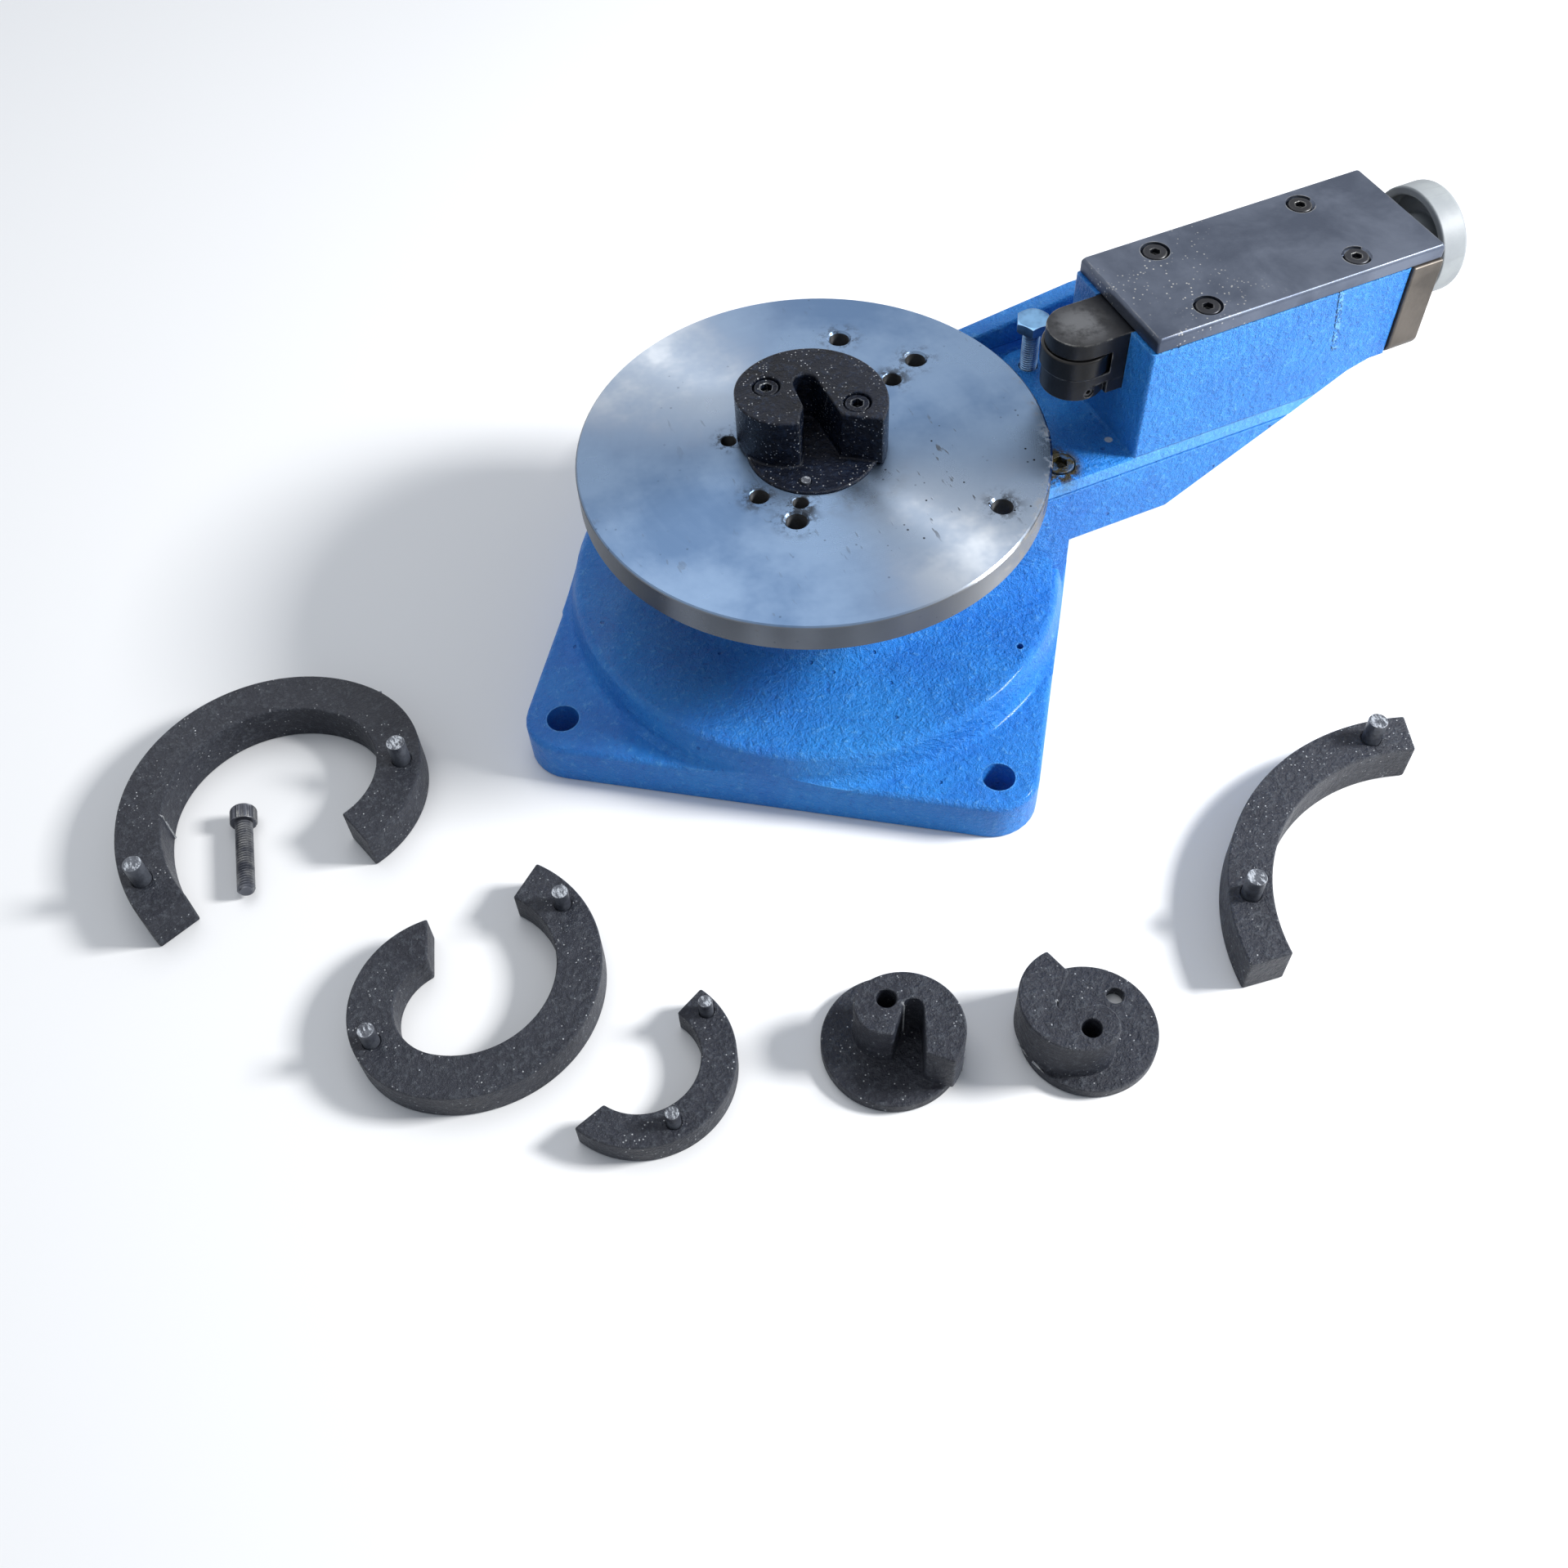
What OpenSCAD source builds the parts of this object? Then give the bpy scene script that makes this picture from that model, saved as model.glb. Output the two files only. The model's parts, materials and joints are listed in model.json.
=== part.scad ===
// Scroll bender. A faceplate with a centre former turns on a square-footed base casting.
// A screw-fed slide on the arm carries the pressure roller. Loose formers lie beside it.
// Origin: spindle axis at the underside of the foot. +Z is up, +X runs along the arm.
// All sizes are in millimetres.

/* [Base casting] */
// Side of the square foot
foot_side = 281; // [276:1:286]
// Thickness of the square foot
foot_t = 26; // [22:1:28]
// Corner radius of the foot
foot_corner_r = 25; // [18:1:30]
// Turn of the foot about the spindle axis, away from the arm direction
foot_yaw = -35.2; // [-40:0.1:-30]
// Distance of each foot hole from both centre lines
foot_hole_offset = 119; // [117:0.5:120]
// Diameter of the foot holes
foot_hole_d = 17.6; // [16:0.2:19]
// Radius of the round body where it meets the foot
body_foot_r = 140; // [137:0.5:140]
// Radius of the round body at its rim
body_rim_r = 138; // [133:0.5:138]
// Height of the round body above the foot
body_h = 18; // [15:0.5:20]
// Radius of the fillet between the body and the foot
body_foot_fillet = 7; // [4:0.5:9]
// Rounding of the body's rim
body_rim_round = 5; // [3:0.5:7]
// Outer radius of the neck
neck_r = 66; // [64:0.5:69]
// Fillet between the neck and the body
neck_fillet = 18; // [12:1:24]
// Height of the neck's top face
neck_top = 111; // [108:0.5:112]
// Wall left round the hollow under the body
hollow_wall = 14; // [12:1:18]
// Height of the hollow under the body
hollow_h = 30; // [24:1:34]
// Inner radius of the hollow under the body
hollow_inner_r = 62; // [58:1:66]
// Angle of the small oil hole in the body top
oil_hole_angle = -54.8; // [-60:0.1:-50]
// Distance of the oil hole from the spindle axis
oil_hole_radius = 128; // [120:0.5:130]
// Diameter of the oil hole
oil_hole_d = 4; // [3:0.5:5]
// Depth of the oil hole
oil_hole_depth = 10; // [6:1:14]

/* [Bracket of the base casting] */
// Half width of the bracket at its top face
bracket_half = 62.4; // [60:0.2:65]
// Radius of the fillets between the bracket's sides and the body
bracket_fillet = 16; // [10:0.5:18]
// Height of the bracket's machined top face
bracket_top = 100; // [98:0.5:101]
// Height of the bracket's flat underside outside the body
bracket_under = 62; // [58:0.5:66]
// Radius of the round web between the body and the bracket
bracket_web_r = 141; // [140.5:0.1:141.4]
// Distance at which the underside begins to rise
bracket_bend_x = 189; // [182:1:194]
// Distance at which the rising underside meets the top face
bracket_tip_x = 262; // [258:1:266]

/* [Slide housing] */
// Sideways offset of the slide's centre line from the spindle axis
slide_y = -24.4; // [-26:0.1:-22]
// Thickness of the housing's foot
housing_foot_t = 10; // [9:0.5:12]
// Distance at which the housing's foot begins
housing_foot_x = 80; // [76:1:90]
// Distance at which the housing's box begins
box_x = 160; // [158:0.5:163]
// Distance at which the housing's box ends
box_end_x = 318; // [314:0.5:320]
// Width of the housing's box
box_w = 76; // [74:0.5:78]
// Height of the housing's box top
box_top = 178; // [177:0.5:180]
// Height of the box underside at its rear end
box_tail_under = 121.7; // [120:0.1:124]
// Distance at which the tail's steep underside eases
tail_knee_x = 295; // [290:1:300]
// Height of that knee
tail_knee_z = 118; // [116:0.5:120]
// Distance at which the tail's underside becomes level
tail_level_x = 308; // [304:1:312]
// Width of the lip on the far edge of the foot
lip_w = 12; // [10:0.5:14]
// Height of the lip's top near the faceplate
lip_low = 121.5; // [119:0.5:124]
// Height of the lip's top beside the box
lip_high = 130; // [126:0.5:131]
// Distance at which the lip starts rising
lip_start_x = 118; // [114:1:122]
// Distance at which the lip reaches its full height
lip_full_x = 190; // [180:1:200]
// Depth of the recess between the lip and the slide
recess_depth = 6; // [4:0.5:7]
// Side position of the recess edge nearest the slide
recess_y = 16; // [14:0.5:20]
// Diameter of the raised boss under the far bolt
boss_d = 31.4; // [28:0.2:33]
// Distance of the far bolt along the arm
far_bolt_x = 147; // [145:0.5:149]
// Side position of the far bolt
far_bolt_y = 28.6; // [27:0.2:30]
// Distance of the near screw along the arm
near_screw_x = 122.5; // [122:0.5:126]
// Side position of the near screw
near_screw_y = -48.6; // [-50:0.2:-47]
// Distance of the rear bolt along the arm
rear_bolt_x = 225; // [215:1:235]
// Side position of the rear bolt
rear_bolt_y = 34; // [32:0.5:36]
// Radius kept free round the faceplate's rim
rim_relief = 3; // [2:0.5:5]

/* [Top plate] */
// Distance at which the top plate begins
plate_x = 162; // [160:0.5:164]
// Length of the top plate
plate_l = 174.4; // [172:0.2:176]
// Thickness of the top plate
plate_t = 8.6; // [8:0.2:10]
// Distance of the front screws from the plate's front edge
plate_screw_inset = 37; // [34:0.5:40]
// Spacing of the screws along the plate
plate_screw_pitch = 90.5; // [88:0.5:92]
// Spacing of the screws across the plate
plate_screw_width = 50; // [49:0.5:52]
// Diameter of the cap screw heads
plate_head_d = 13; // [12.6:0.1:13.4]
// Height of the low cap screw heads
plate_head_h = 5; // [4:0.2:5.4]
// Diameter of the counterbores
plate_counterbore_d = 15.6; // [15:0.1:16.4]
// Depth of the counterbores
plate_counterbore_h = 5.2; // [5:0.1:5.8]
// Length of the cap screws under the head
plate_screw_l = 22; // [18:1:28]
// Edge break on the top plate
plate_edge = 1.2; // [0.6:0.2:1.6]

/* [End plate] */
// Thickness of the end plate
end_t = 19; // [17:0.5:20]
// Width of the end plate
end_w = 79; // [78:0.5:80]
// Height of the end plate's lower edge
end_under = 121; // [119:0.5:123]
// Radius of the end plate's lower corners
end_corner_r = 8; // [5:0.5:10]
// Spacing of the end plate screws across the plate
end_screw_width = 56; // [54:0.5:58]
// Height of the lower end plate screws
end_screw_low = 132; // [130:0.5:134]
// Height of the upper end plate screws
end_screw_high = 168; // [166:0.5:170]
// Outside diameter of the bronze bush in the end plate
bush_od = 24; // [22:0.5:26]

/* [Spindle and bearings] */
// Bore of the upper bearing
upper_bore_d = 50; // [48:1:52]
// Outside diameter of the upper bearing
upper_od = 90; // [88:1:92]
// Width of the upper bearing
upper_w = 20; // [18:1:22]
// Height of the upper bearing's top face
upper_top = 98; // [96:0.5:99]
// Bore of the lower bearing
lower_bore_d = 40; // [38:1:42]
// Outside diameter of the lower bearing
lower_od = 80; // [78:1:82]
// Width of the lower bearing
lower_w = 18; // [16:1:20]
// Height of the lower bearing's underside
lower_under = 26; // [26:0.5:28]
// Number of balls in each bearing
ball_count = 11; // [9:1:11]
// Diameter of the upper bearing's balls
upper_ball_d = 12.6; // [11:0.1:13]
// Diameter of the lower bearing's balls
lower_ball_d = 12; // [10:0.1:12.4]
// Radius of the spindle's flange
flange_r = 36; // [35.4:0.1:36]
// Diameter of the spindle between the bearings
shaft_d = 47; // [45:0.5:48]
// Diameter of the spindle's threaded end
spindle_thread_d = 36; // [34:1:38]
// Diameter of the drive bore in the spindle
drive_bore_d = 22; // [20:0.5:24]
// Depth of the drive bore
drive_bore_l = 50; // [40:1:60]
// Width of the keyway in the drive bore
keyway_w = 6; // [5:0.5:7]
// Depth of the keyway beyond the drive bore
keyway_depth = 2.8; // [2:0.2:3]
// Height of the spindle's lower end
spindle_end = 6; // [4:0.5:10]
// Outside diameter of the spindle nut
spindle_nut_d = 58; // [54:1:60]
// Thickness of the spindle nut
spindle_nut_t = 12; // [10:0.5:14]

/* [Faceplate] */
// Diameter of the faceplate
faceplate_d = 250; // [246:1:252]
// Thickness of the faceplate
faceplate_t = 16; // [14:0.5:17]
// Height of the faceplate's top face
faceplate_top = 131; // [130:0.5:132]
// Edge break round the faceplate
faceplate_edge = 1.2; // [0.6:0.2:2]
// Depth of the recess for the former's base
former_recess = 5.5; // [4:0.5:6]
// Diameter of the large tooling holes
tool_hole_d = 11.2; // [10.6:0.1:11.6]
// Edge break of the large tooling holes
tool_hole_edge = 1.1; // [0.6:0.1:1.4]
// Diameter of the medium tooling holes
mid_hole_d = 10.3; // [10:0.1:10.6]
// Diameter of the small tooling holes
small_hole_d = 8.3; // [7.6:0.1:8.6]
// Edge break of the medium and small holes
small_hole_edge = 0.4; // [0.2:0.1:0.6]
// Radius of the outer pair of large holes
hole_ab_radius = 89.6; // [86:0.1:94]
// Angle of the first large hole
hole_a_angle = 55.7; // [50:0.1:60]
// Angle of the second large hole
hole_b_angle = 26.2; // [22:0.1:30]
// Radius of the medium hole inside the second large hole
hole_c_radius = 68.5; // [66:0.1:71]
// Radius of the small hole opposite the arm
hole_d_radius = 45; // [44:0.1:47]
// Angle of that small hole
hole_d_angle = 146.4; // [142:0.1:150]
// Radius of the medium hole near the former
hole_e_radius = 44.8; // [44:0.1:47]
// Angle of that medium hole
hole_e_angle = 207.1; // [203:0.1:210]
// Radius of the small hole at the recess
hole_f_radius = 40.6; // [40.4:0.1:41]
// Angle of the small hole at the recess and of the large hole outside it
hole_fg_angle = 236.2; // [233:0.1:240]
// Radius of the large hole outside it
hole_g_radius = 53.3; // [53:0.1:56]
// Radius of the lone large hole towards the front
hole_h_radius = 105.9; // [102:0.1:108]
// Angle of the lone large hole towards the front
hole_h_angle = -49.7; // [-54:0.1:-46]
// Radius of the countersunk screws that hold the faceplate
plate_bolt_radius = 26; // [25:0.5:27]

/* [Centre former] */
// Diameter of every former's round base
former_base_d = 69.6; // [68:0.1:69.6]
// Thickness of every former's round base
former_base_t = 7; // [6.5:0.1:8]
// Height of the block above the faceplate
former_block_h = 30.4; // [28:0.2:32]
// Radius of the centre former's horn
horn_r = 41.1; // [40:0.1:42]
// Radius of the centre former's heel
heel_r = 26.4; // [25:0.1:28]
// Angle at which horn and heel join
heel_join = 121.4; // [116:0.2:126]
// Radius of the closed end of the centre former's slot
slot_r = 6.4; // [5.6:0.1:7]
// Clear height between the block and the faceplate
block_lift = 0.3; // [0.3:0.1:0.6]
// Diameter of the former screws' counterbores
former_counterbore_d = 14.6; // [14:0.1:15.4]
// Depth of the former screws' heads below the block's top
former_sink = 1; // [0.5:0.1:3]
// Length of the former screws under the head
former_screw_l = 45; // [42:1:46]

/* [Slide bar and roller] */
// Width of the slide bar
bar_w = 34; // [33:0.5:34]
// Height of the slide bar's underside
bar_under = 142; // [141.5:0.1:142.5]
// Height of the slide bar's top face
bar_top = 177.7; // [176.5:0.1:177.7]
// Radius of the bar's rounded nose
nose_r = 17; // [16.5:0.1:17]
// Distance of the roller's axis from the spindle axis, along the arm
roller_x = 140; // [138:0.5:142]
// Length of the slide bar behind the roller axis
bar_tail = 160; // [150:1:160]
// Height of the roller slot's floor
slot_floor = 155.5; // [155:0.1:156]
// Height of the roller slot's roof
slot_roof = 168.3; // [168:0.1:169]
// Radius of the slot's closed end
slot_end_r = 20; // [19.4:0.1:20.6]
// Thickness of the lower tine
lower_tine_t = 5.5; // [5:0.1:7]
// Length over which the lower tine is thin
tine_relief = 10; // [9:0.5:11]
// Radius of the pressure roller
roller_r = 18.5; // [18:0.1:18.9]
// Diameter of the roller pin
roller_pin_d = 10; // [9:0.5:11]
// Outside diameter of the roller's bush
roller_bush_d = 16; // [14:0.5:17]
// Edge break of the roller
roller_edge = 0.8; // [0.4:0.1:1.2]
// Inward travel of the slide
slide_travel = 75; // [60:1:75]

/* [Feed screw and knob] */
// Height of the feed screw's axis
screw_z = 159.5; // [158.5:0.1:160]
// Outside diameter of the feed screw's thread
screw_d = 16; // [15:0.5:16]
// Distance at which the feed screw begins
screw_start = 188; // [186:1:190]
// Diameter of the clearance bore inside the slide bar
screw_clear_d = 18.6; // [18:0.1:20]
// Outside diameter of the bronze slide nut
slide_nut_d = 24; // [23:0.5:26]
// Length of the bronze slide nut
slide_nut_l = 32; // [26:1:36]
// Diameter of both thrust collars
collar_d = 26; // [24:0.5:28]
// Thickness of both thrust collars
collar_t = 7; // [6:0.5:8]
// Thickness of both thrust washers
thrust_washer_t = 2; // [1.5:0.1:2.5]
// Diameter of the feed screw's knob end
knob_shaft_d = 12; // [11:0.5:13]
// Diameter of the knob
knob_d = 60; // [58:0.5:62]
// Width of the knob
knob_w = 17; // [15:0.5:19]
// Clear distance between the end plate and the knob
knob_gap = 11; // [10:0.5:13]
// Wall of the knob's rim
knob_wall = 4.5; // [4:0.5:7]
// Web of the knob at its outer side
knob_web = 6; // [5:0.5:8]
// Diameter of the knob's hub
knob_hub_d = 28; // [24:1:32]

/* [Loose segments] */
// Diameter of the pins on the large and the long segment
segment_pin_d = 10; // [9:0.2:10.4]
// Height of the pins above the large and the long segment
segment_pin_h = 15; // [12:0.5:17]
// Diameter of the pins on the middle segment
middle_pin_d = 8.4; // [7.4:0.2:9.4]
// Height of the pins above the middle segment
middle_pin_h = 12; // [10:0.5:14]
// Diameter of the pins on the small segment
small_pin_d = 7; // [6:0.2:8]
// Height of the pins above the small segment
small_pin_h = 10.5; // [9:0.5:12]
// Thickness of the large segment
large_t = 23; // [20:0.5:26]
// Band width of the large segment
large_w = 24; // [20:0.5:26]
// Outer radius of the large segment's middle arc
large_r = 85.2; // [82:0.2:88]
// Outer radius of the large segment's opening end
large_open_r = 112.1; // [106:0.2:116]
// Outer radius of the large segment's closing end
large_close_r = 63.2; // [58:0.2:66]
// Thickness of the middle segment
middle_t = 19; // [16:0.5:22]
// Band width of the middle segment
middle_w = 22.9; // [20:0.1:25]
// Outer radius of the middle segment's long arc
middle_r = 69.3; // [66:0.1:72]
// Outer radius of the middle segment's closing arc
middle_close_r = 50.8; // [48:0.1:54]
// Thickness of the small segment
small_t = 15.5; // [14:0.5:18]
// Band width of the small segment
small_w = 17.3; // [16:0.1:20]
// Outer radius of the small segment
small_r = 46; // [44:0.1:48]
// Thickness of the long segment
long_t = 24; // [20:0.5:26]
// Band width of the long segment
long_w = 22.3; // [20:0.1:24]
// Outer radius of the long segment
long_r = 117.8; // [114:0.1:122]

/* [Loose formers and screw] */
// Height of the loose formers' blocks above their bases
loose_block_h = 28; // [26:0.5:30]
// Horn radius of the first loose former
spare_a_horn_r = 29.5; // [28:0.1:31]
// Heel radius of the first loose former
spare_a_heel_r = 15.5; // [14:0.1:17]
// Horn radius of the second loose former
spare_b_horn_r = 27.8; // [26:0.1:29]
// Heel radius of the second loose former
spare_b_heel_r = 11.4; // [10:0.1:13]
// Diameter of the holes in the loose formers
spare_hole_d = 9.6; // [8.6:0.1:10.4]
// Diameter of the loose cap screw's head
loose_head_d = 14.3; // [13.5:0.1:15]
// Height of the loose cap screw's head
loose_head_h = 9.3; // [8.3:0.1:9.6]
// Diameter of the loose cap screw's shank
loose_shank_d = 9.5; // [8.8:0.1:10]
// Shank length of the loose cap screw
loose_shank_l = 44.5; // [43.5:0.1:45]

/* [Fits] */
// Radial clearance of running fits
run_fit = 0.05; // [0.02:0.01:0.1]
// Radial clearance between fixed pieces
seat_fit = 0.02; // [0.01:0.01:0.04]
// Clear distance between sliding faces
slide_gap = 0.3; // [0.3:0.05:0.5]

/* [Hidden] */
$fn = 64;
eps = 0.5;
paint_blue = [0.05, 0.19, 0.55];
steel = [0.72, 0.73, 0.75];
dark_steel = [0.20, 0.21, 0.23];
black_iron = [0.11, 0.11, 0.13];
bronze = [0.66, 0.48, 0.26];
zinc = [0.70, 0.76, 0.80];
knob_grey = [0.62, 0.62, 0.61];
rubber = [0.06, 0.06, 0.06];

faceplate_under = faceplate_top - faceplate_t;
body_top = foot_t + body_h;
hollow_outer_r = min(body_foot_r, body_rim_r) - hollow_wall;
neck_chamfer = 1.5;
fillet_sink = 0.5;
bracket_start_x = 30;
housing_foot_top = bracket_top + housing_foot_t;
channel_half = bar_w / 2 + slide_gap;
channel_floor = bar_under - slide_gap;
box_near = slide_y - box_w / 2;
box_far = slide_y + box_w / 2;
plate_top = box_top + plate_t;
plate_counterbore_z = plate_top - plate_counterbore_h;
end_screw_l = 28;
end_inset = 8;
segment_pin_depth = 10;
end_x = box_end_x + end_t;
upper_under = upper_top - upper_w;
lower_top = lower_under + lower_w;
hub_r = 31;
hub_t = 3;
bearing_lip = 5;
spigot_r = 14;
spigot_h = 6;
m10_r = 5;
m8_r = 4;
m6_r = 3;
m5_r = 2.5;
hex_af = 17;
hex_h = 6.4;
bolt_rise = 26.2;
raised_bolt_l = 45;
rear_bolt_l = 30;
front_head_d = 16;
front_head_h = 6.5;
front_sink = 5.5;
front_screw_l = 30;
washer_t = 2;
knob_x = end_x + knob_gap;
knob_end = knob_x + knob_w;
collar_out_x = end_x + thrust_washer_t + slide_gap;
shaft_end = knob_end - knob_web / 2;
recess_floor = faceplate_top - former_recess;
former_base_top = recess_floor + former_base_t;
block_top = faceplate_top + former_block_h;
bar_rear = roller_x + bar_tail;

function polar(r, a) = [r * cos(a), r * sin(a)];
function arc_points(c, r, a0, a1, n) =
    [for (i = [0:n]) c + polar(r, a0 + (a1 - a0) * i / n)];
function next_centre(c, r0, r1, a) = c + polar(r0 - r1, a);

// Places of the former screws and the dowel, seen from above
former_screw_1 = [-15.7, 22.4];
former_screw_2 = [21.2, -9.2];
former_dowel_at = [-14.3, -22.3];
former_dowel_r = 2.5;

// Outline points of the centre former: horn centre, slot and cut edges
horn_c = [-0.5, 2.8];
slot_c = [3.7, 16.1];
horn_tip = [28, -28];
horn_inner = [9.8, -14.6];
slot_left = [-2.7, 16.1];
slot_right = [10.1, 16.1];
slot_neck = [-4.7, 0.4];
heel_corner = [-11.8, -10.4];

// Places of the loose pieces
large_c = [-321.8, -11.3];
large_open_at = 161.1;
large_close_at = 37.5;
large_open_c = next_centre(large_c, large_r, large_open_r, large_open_at);
large_close_c = next_centre(large_c, large_r, large_close_r, large_close_at);
large_open_end = 200.6;
large_close_end = -73;
large_pin_1 = 186.1;
large_pin_2 = -18.1;
pin_outward = 1.8;
middle_c = [-263.2, -150.4];
middle_join = 233.2;
middle_close_c = next_centre(middle_c, middle_r, middle_close_r, middle_join);
middle_open_end = 399;
middle_tip_end = 86;
middle_tip_skew = 11;
middle_pin_1 = 14;
middle_pin_2 = 185.6;
small_c = [-200.2, -231];
small_start = -154;
small_end = 29;
small_pin_1 = 13.9;
small_pin_2 = -87;
long_c = [201.5, -332.6];
long_start = 68.7;
long_end = 171.8;
long_pin_1 = 80.3;
long_pin_2 = 151.3;
spare_a_at = [-85.5, -270];
spare_b_at = [3.5, -304.5];
loose_screw_at = [-343.6, -6.4];
loose_screw_yaw = -101.3;

module place(c) translate([c[0], c[1], 0]) children();

module along_x(x, y, z) translate([x, y, z]) rotate([0, 90, 0]) children();

module tube(r_out, r_in, h) difference() {
    cylinder(r = r_out, h = h);
    translate([0, 0, -eps]) cylinder(r = r_in, h = h + 2 * eps);
}

module side_profile(points, y0, y1)
    translate([0, y1, 0]) rotate([90, 0, 0])
        linear_extrude(height = y1 - y0) polygon(points);

module hexagon(af, h) cylinder(r = af / 2 / cos(30), h = h, $fn = 6);

module hex_socket(af, depth)
    translate([0, 0, -depth]) cylinder(r = af / 2 / cos(30), h = depth + eps, $fn = 6);

// Cap screw with its bearing face at z = 0, head above and shank below
module cap_screw(head_d, head_h, shank_r, shank_l, socket_af)
    difference() {
        union() {
            cylinder(r = head_d / 2, h = head_h - 0.5);
            translate([0, 0, head_h - 0.5])
                cylinder(r1 = head_d / 2, r2 = head_d / 2 - 0.5, h = 0.5);
            translate([0, 0, -shank_l]) cylinder(r = shank_r, h = shank_l);
        }
        translate([0, 0, head_h]) hex_socket(socket_af, head_h * 0.6);
    }

module hex_bolt(shank_l)
    union() {
        intersection() {
            hexagon(hex_af, hex_h);
            cylinder(r1 = hex_af / 2 + hex_h * 1.8, r2 = hex_af / 2 + 0.35, h = hex_h);
        }
        translate([0, 0, -shank_l]) cylinder(r = m10_r, h = shank_l);
    }

module foot_outline() {
    half = foot_side / 2;
    inner = half - foot_corner_r;
    square([foot_side, 2 * inner], center = true);
    square([2 * inner, foot_side], center = true);
    for (sx = [-1, 1], sy = [-1, 1])
        translate([sx * inner, sy * inner]) circle(r = foot_corner_r);
}

// Round body and neck, with the fillet at the foot kept inside the foot's outline
module body_solid()
    intersection() {
        rotate_extrude($fn = 96) polygon(concat(
            [[0, foot_t - 2], [body_foot_r + body_foot_fillet, foot_t - 2]],
            arc_points([body_foot_r + body_foot_fillet, foot_t + body_foot_fillet - fillet_sink],
                body_foot_fillet, 270, 180, 5),
            arc_points([body_rim_r - body_rim_round, body_top - body_rim_round],
                body_rim_round, 0, 90, 5),
            arc_points([neck_r + neck_fillet, body_top + neck_fillet], neck_fillet, 270, 180, 7),
            [[neck_r, neck_top - neck_chamfer], [neck_r - neck_chamfer, neck_top],
                [0, neck_top]]));
        rotate([0, 0, foot_yaw]) linear_extrude(height = neck_top + 1) foot_outline();
    }

// Section across the fillet on one side of the bracket
module bracket_fillet_section()
    polygon(concat(
        [[bracket_half - 1, body_top - body_rim_round],
            [bracket_half + bracket_fillet, body_top - body_rim_round]],
        arc_points([bracket_half + bracket_fillet, body_top + bracket_fillet],
            bracket_fillet, 270, 180, 6),
        [[bracket_half - 1, body_top + bracket_fillet]]));

module bracket_solid() {
    side_profile([[bracket_start_x, bracket_under], [bracket_bend_x, bracket_under],
        [bracket_tip_x, bracket_top], [bracket_start_x, bracket_top]],
        -bracket_half, bracket_half);
    intersection() {
        translate([bracket_start_x, -bracket_half, foot_t - 1])
            cube([bracket_web_r, 2 * bracket_half, bracket_under + eps - foot_t]);
        cylinder(r = bracket_web_r, h = bracket_top, $fn = 96);
    }
    intersection() {
        translate([bracket_start_x, 0, 0]) rotate([90, 0, 90])
            linear_extrude(height = body_rim_r) {
                bracket_fillet_section();
                mirror([1, 0]) bracket_fillet_section();
            }
        cylinder(r = body_rim_r - body_rim_round, h = bracket_top, $fn = 96);
    }
}

module base_casting() color(paint_blue)
    difference() {
        union() {
            rotate([0, 0, foot_yaw]) linear_extrude(height = foot_t) foot_outline();
            body_solid();
            bracket_solid();
        }
        rotate([0, 0, foot_yaw]) for (sx = [-1, 1], sy = [-1, 1])
            translate([sx * foot_hole_offset, sy * foot_hole_offset, -eps])
                cylinder(r = foot_hole_d / 2, h = foot_t + 2 * eps);
        translate([0, 0, -eps])
            tube(hollow_outer_r, hollow_inner_r, hollow_h + eps);
        translate([0, 0, upper_under])
            cylinder(r = upper_od / 2 + seat_fit, h = neck_top);
        translate([0, 0, -eps])
            cylinder(r = upper_od / 2 - bearing_lip - 1, h = neck_top);
        translate([0, 0, -eps])
            cylinder(r = lower_od / 2 + seat_fit, h = lower_top + eps);
        translate([0, 0, lower_under - 2.4])
            cylinder(r = lower_od / 2 + 2, h = 2.4);
        place(polar(oil_hole_radius, oil_hole_angle))
            translate([0, 0, body_top - oil_hole_depth])
                cylinder(r = oil_hole_d / 2, h = oil_hole_depth + eps);
        translate([far_bolt_x, far_bolt_y, bracket_under - eps])
            cylinder(r = m10_r + run_fit, h = bracket_top);
        translate([near_screw_x, near_screw_y, bracket_top - front_screw_l])
            cylinder(r = m10_r + seat_fit, h = bracket_top);
        translate([rear_bolt_x, rear_bolt_y, bracket_under - eps])
            cylinder(r = m10_r + seat_fit, h = bracket_top);
    }

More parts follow.
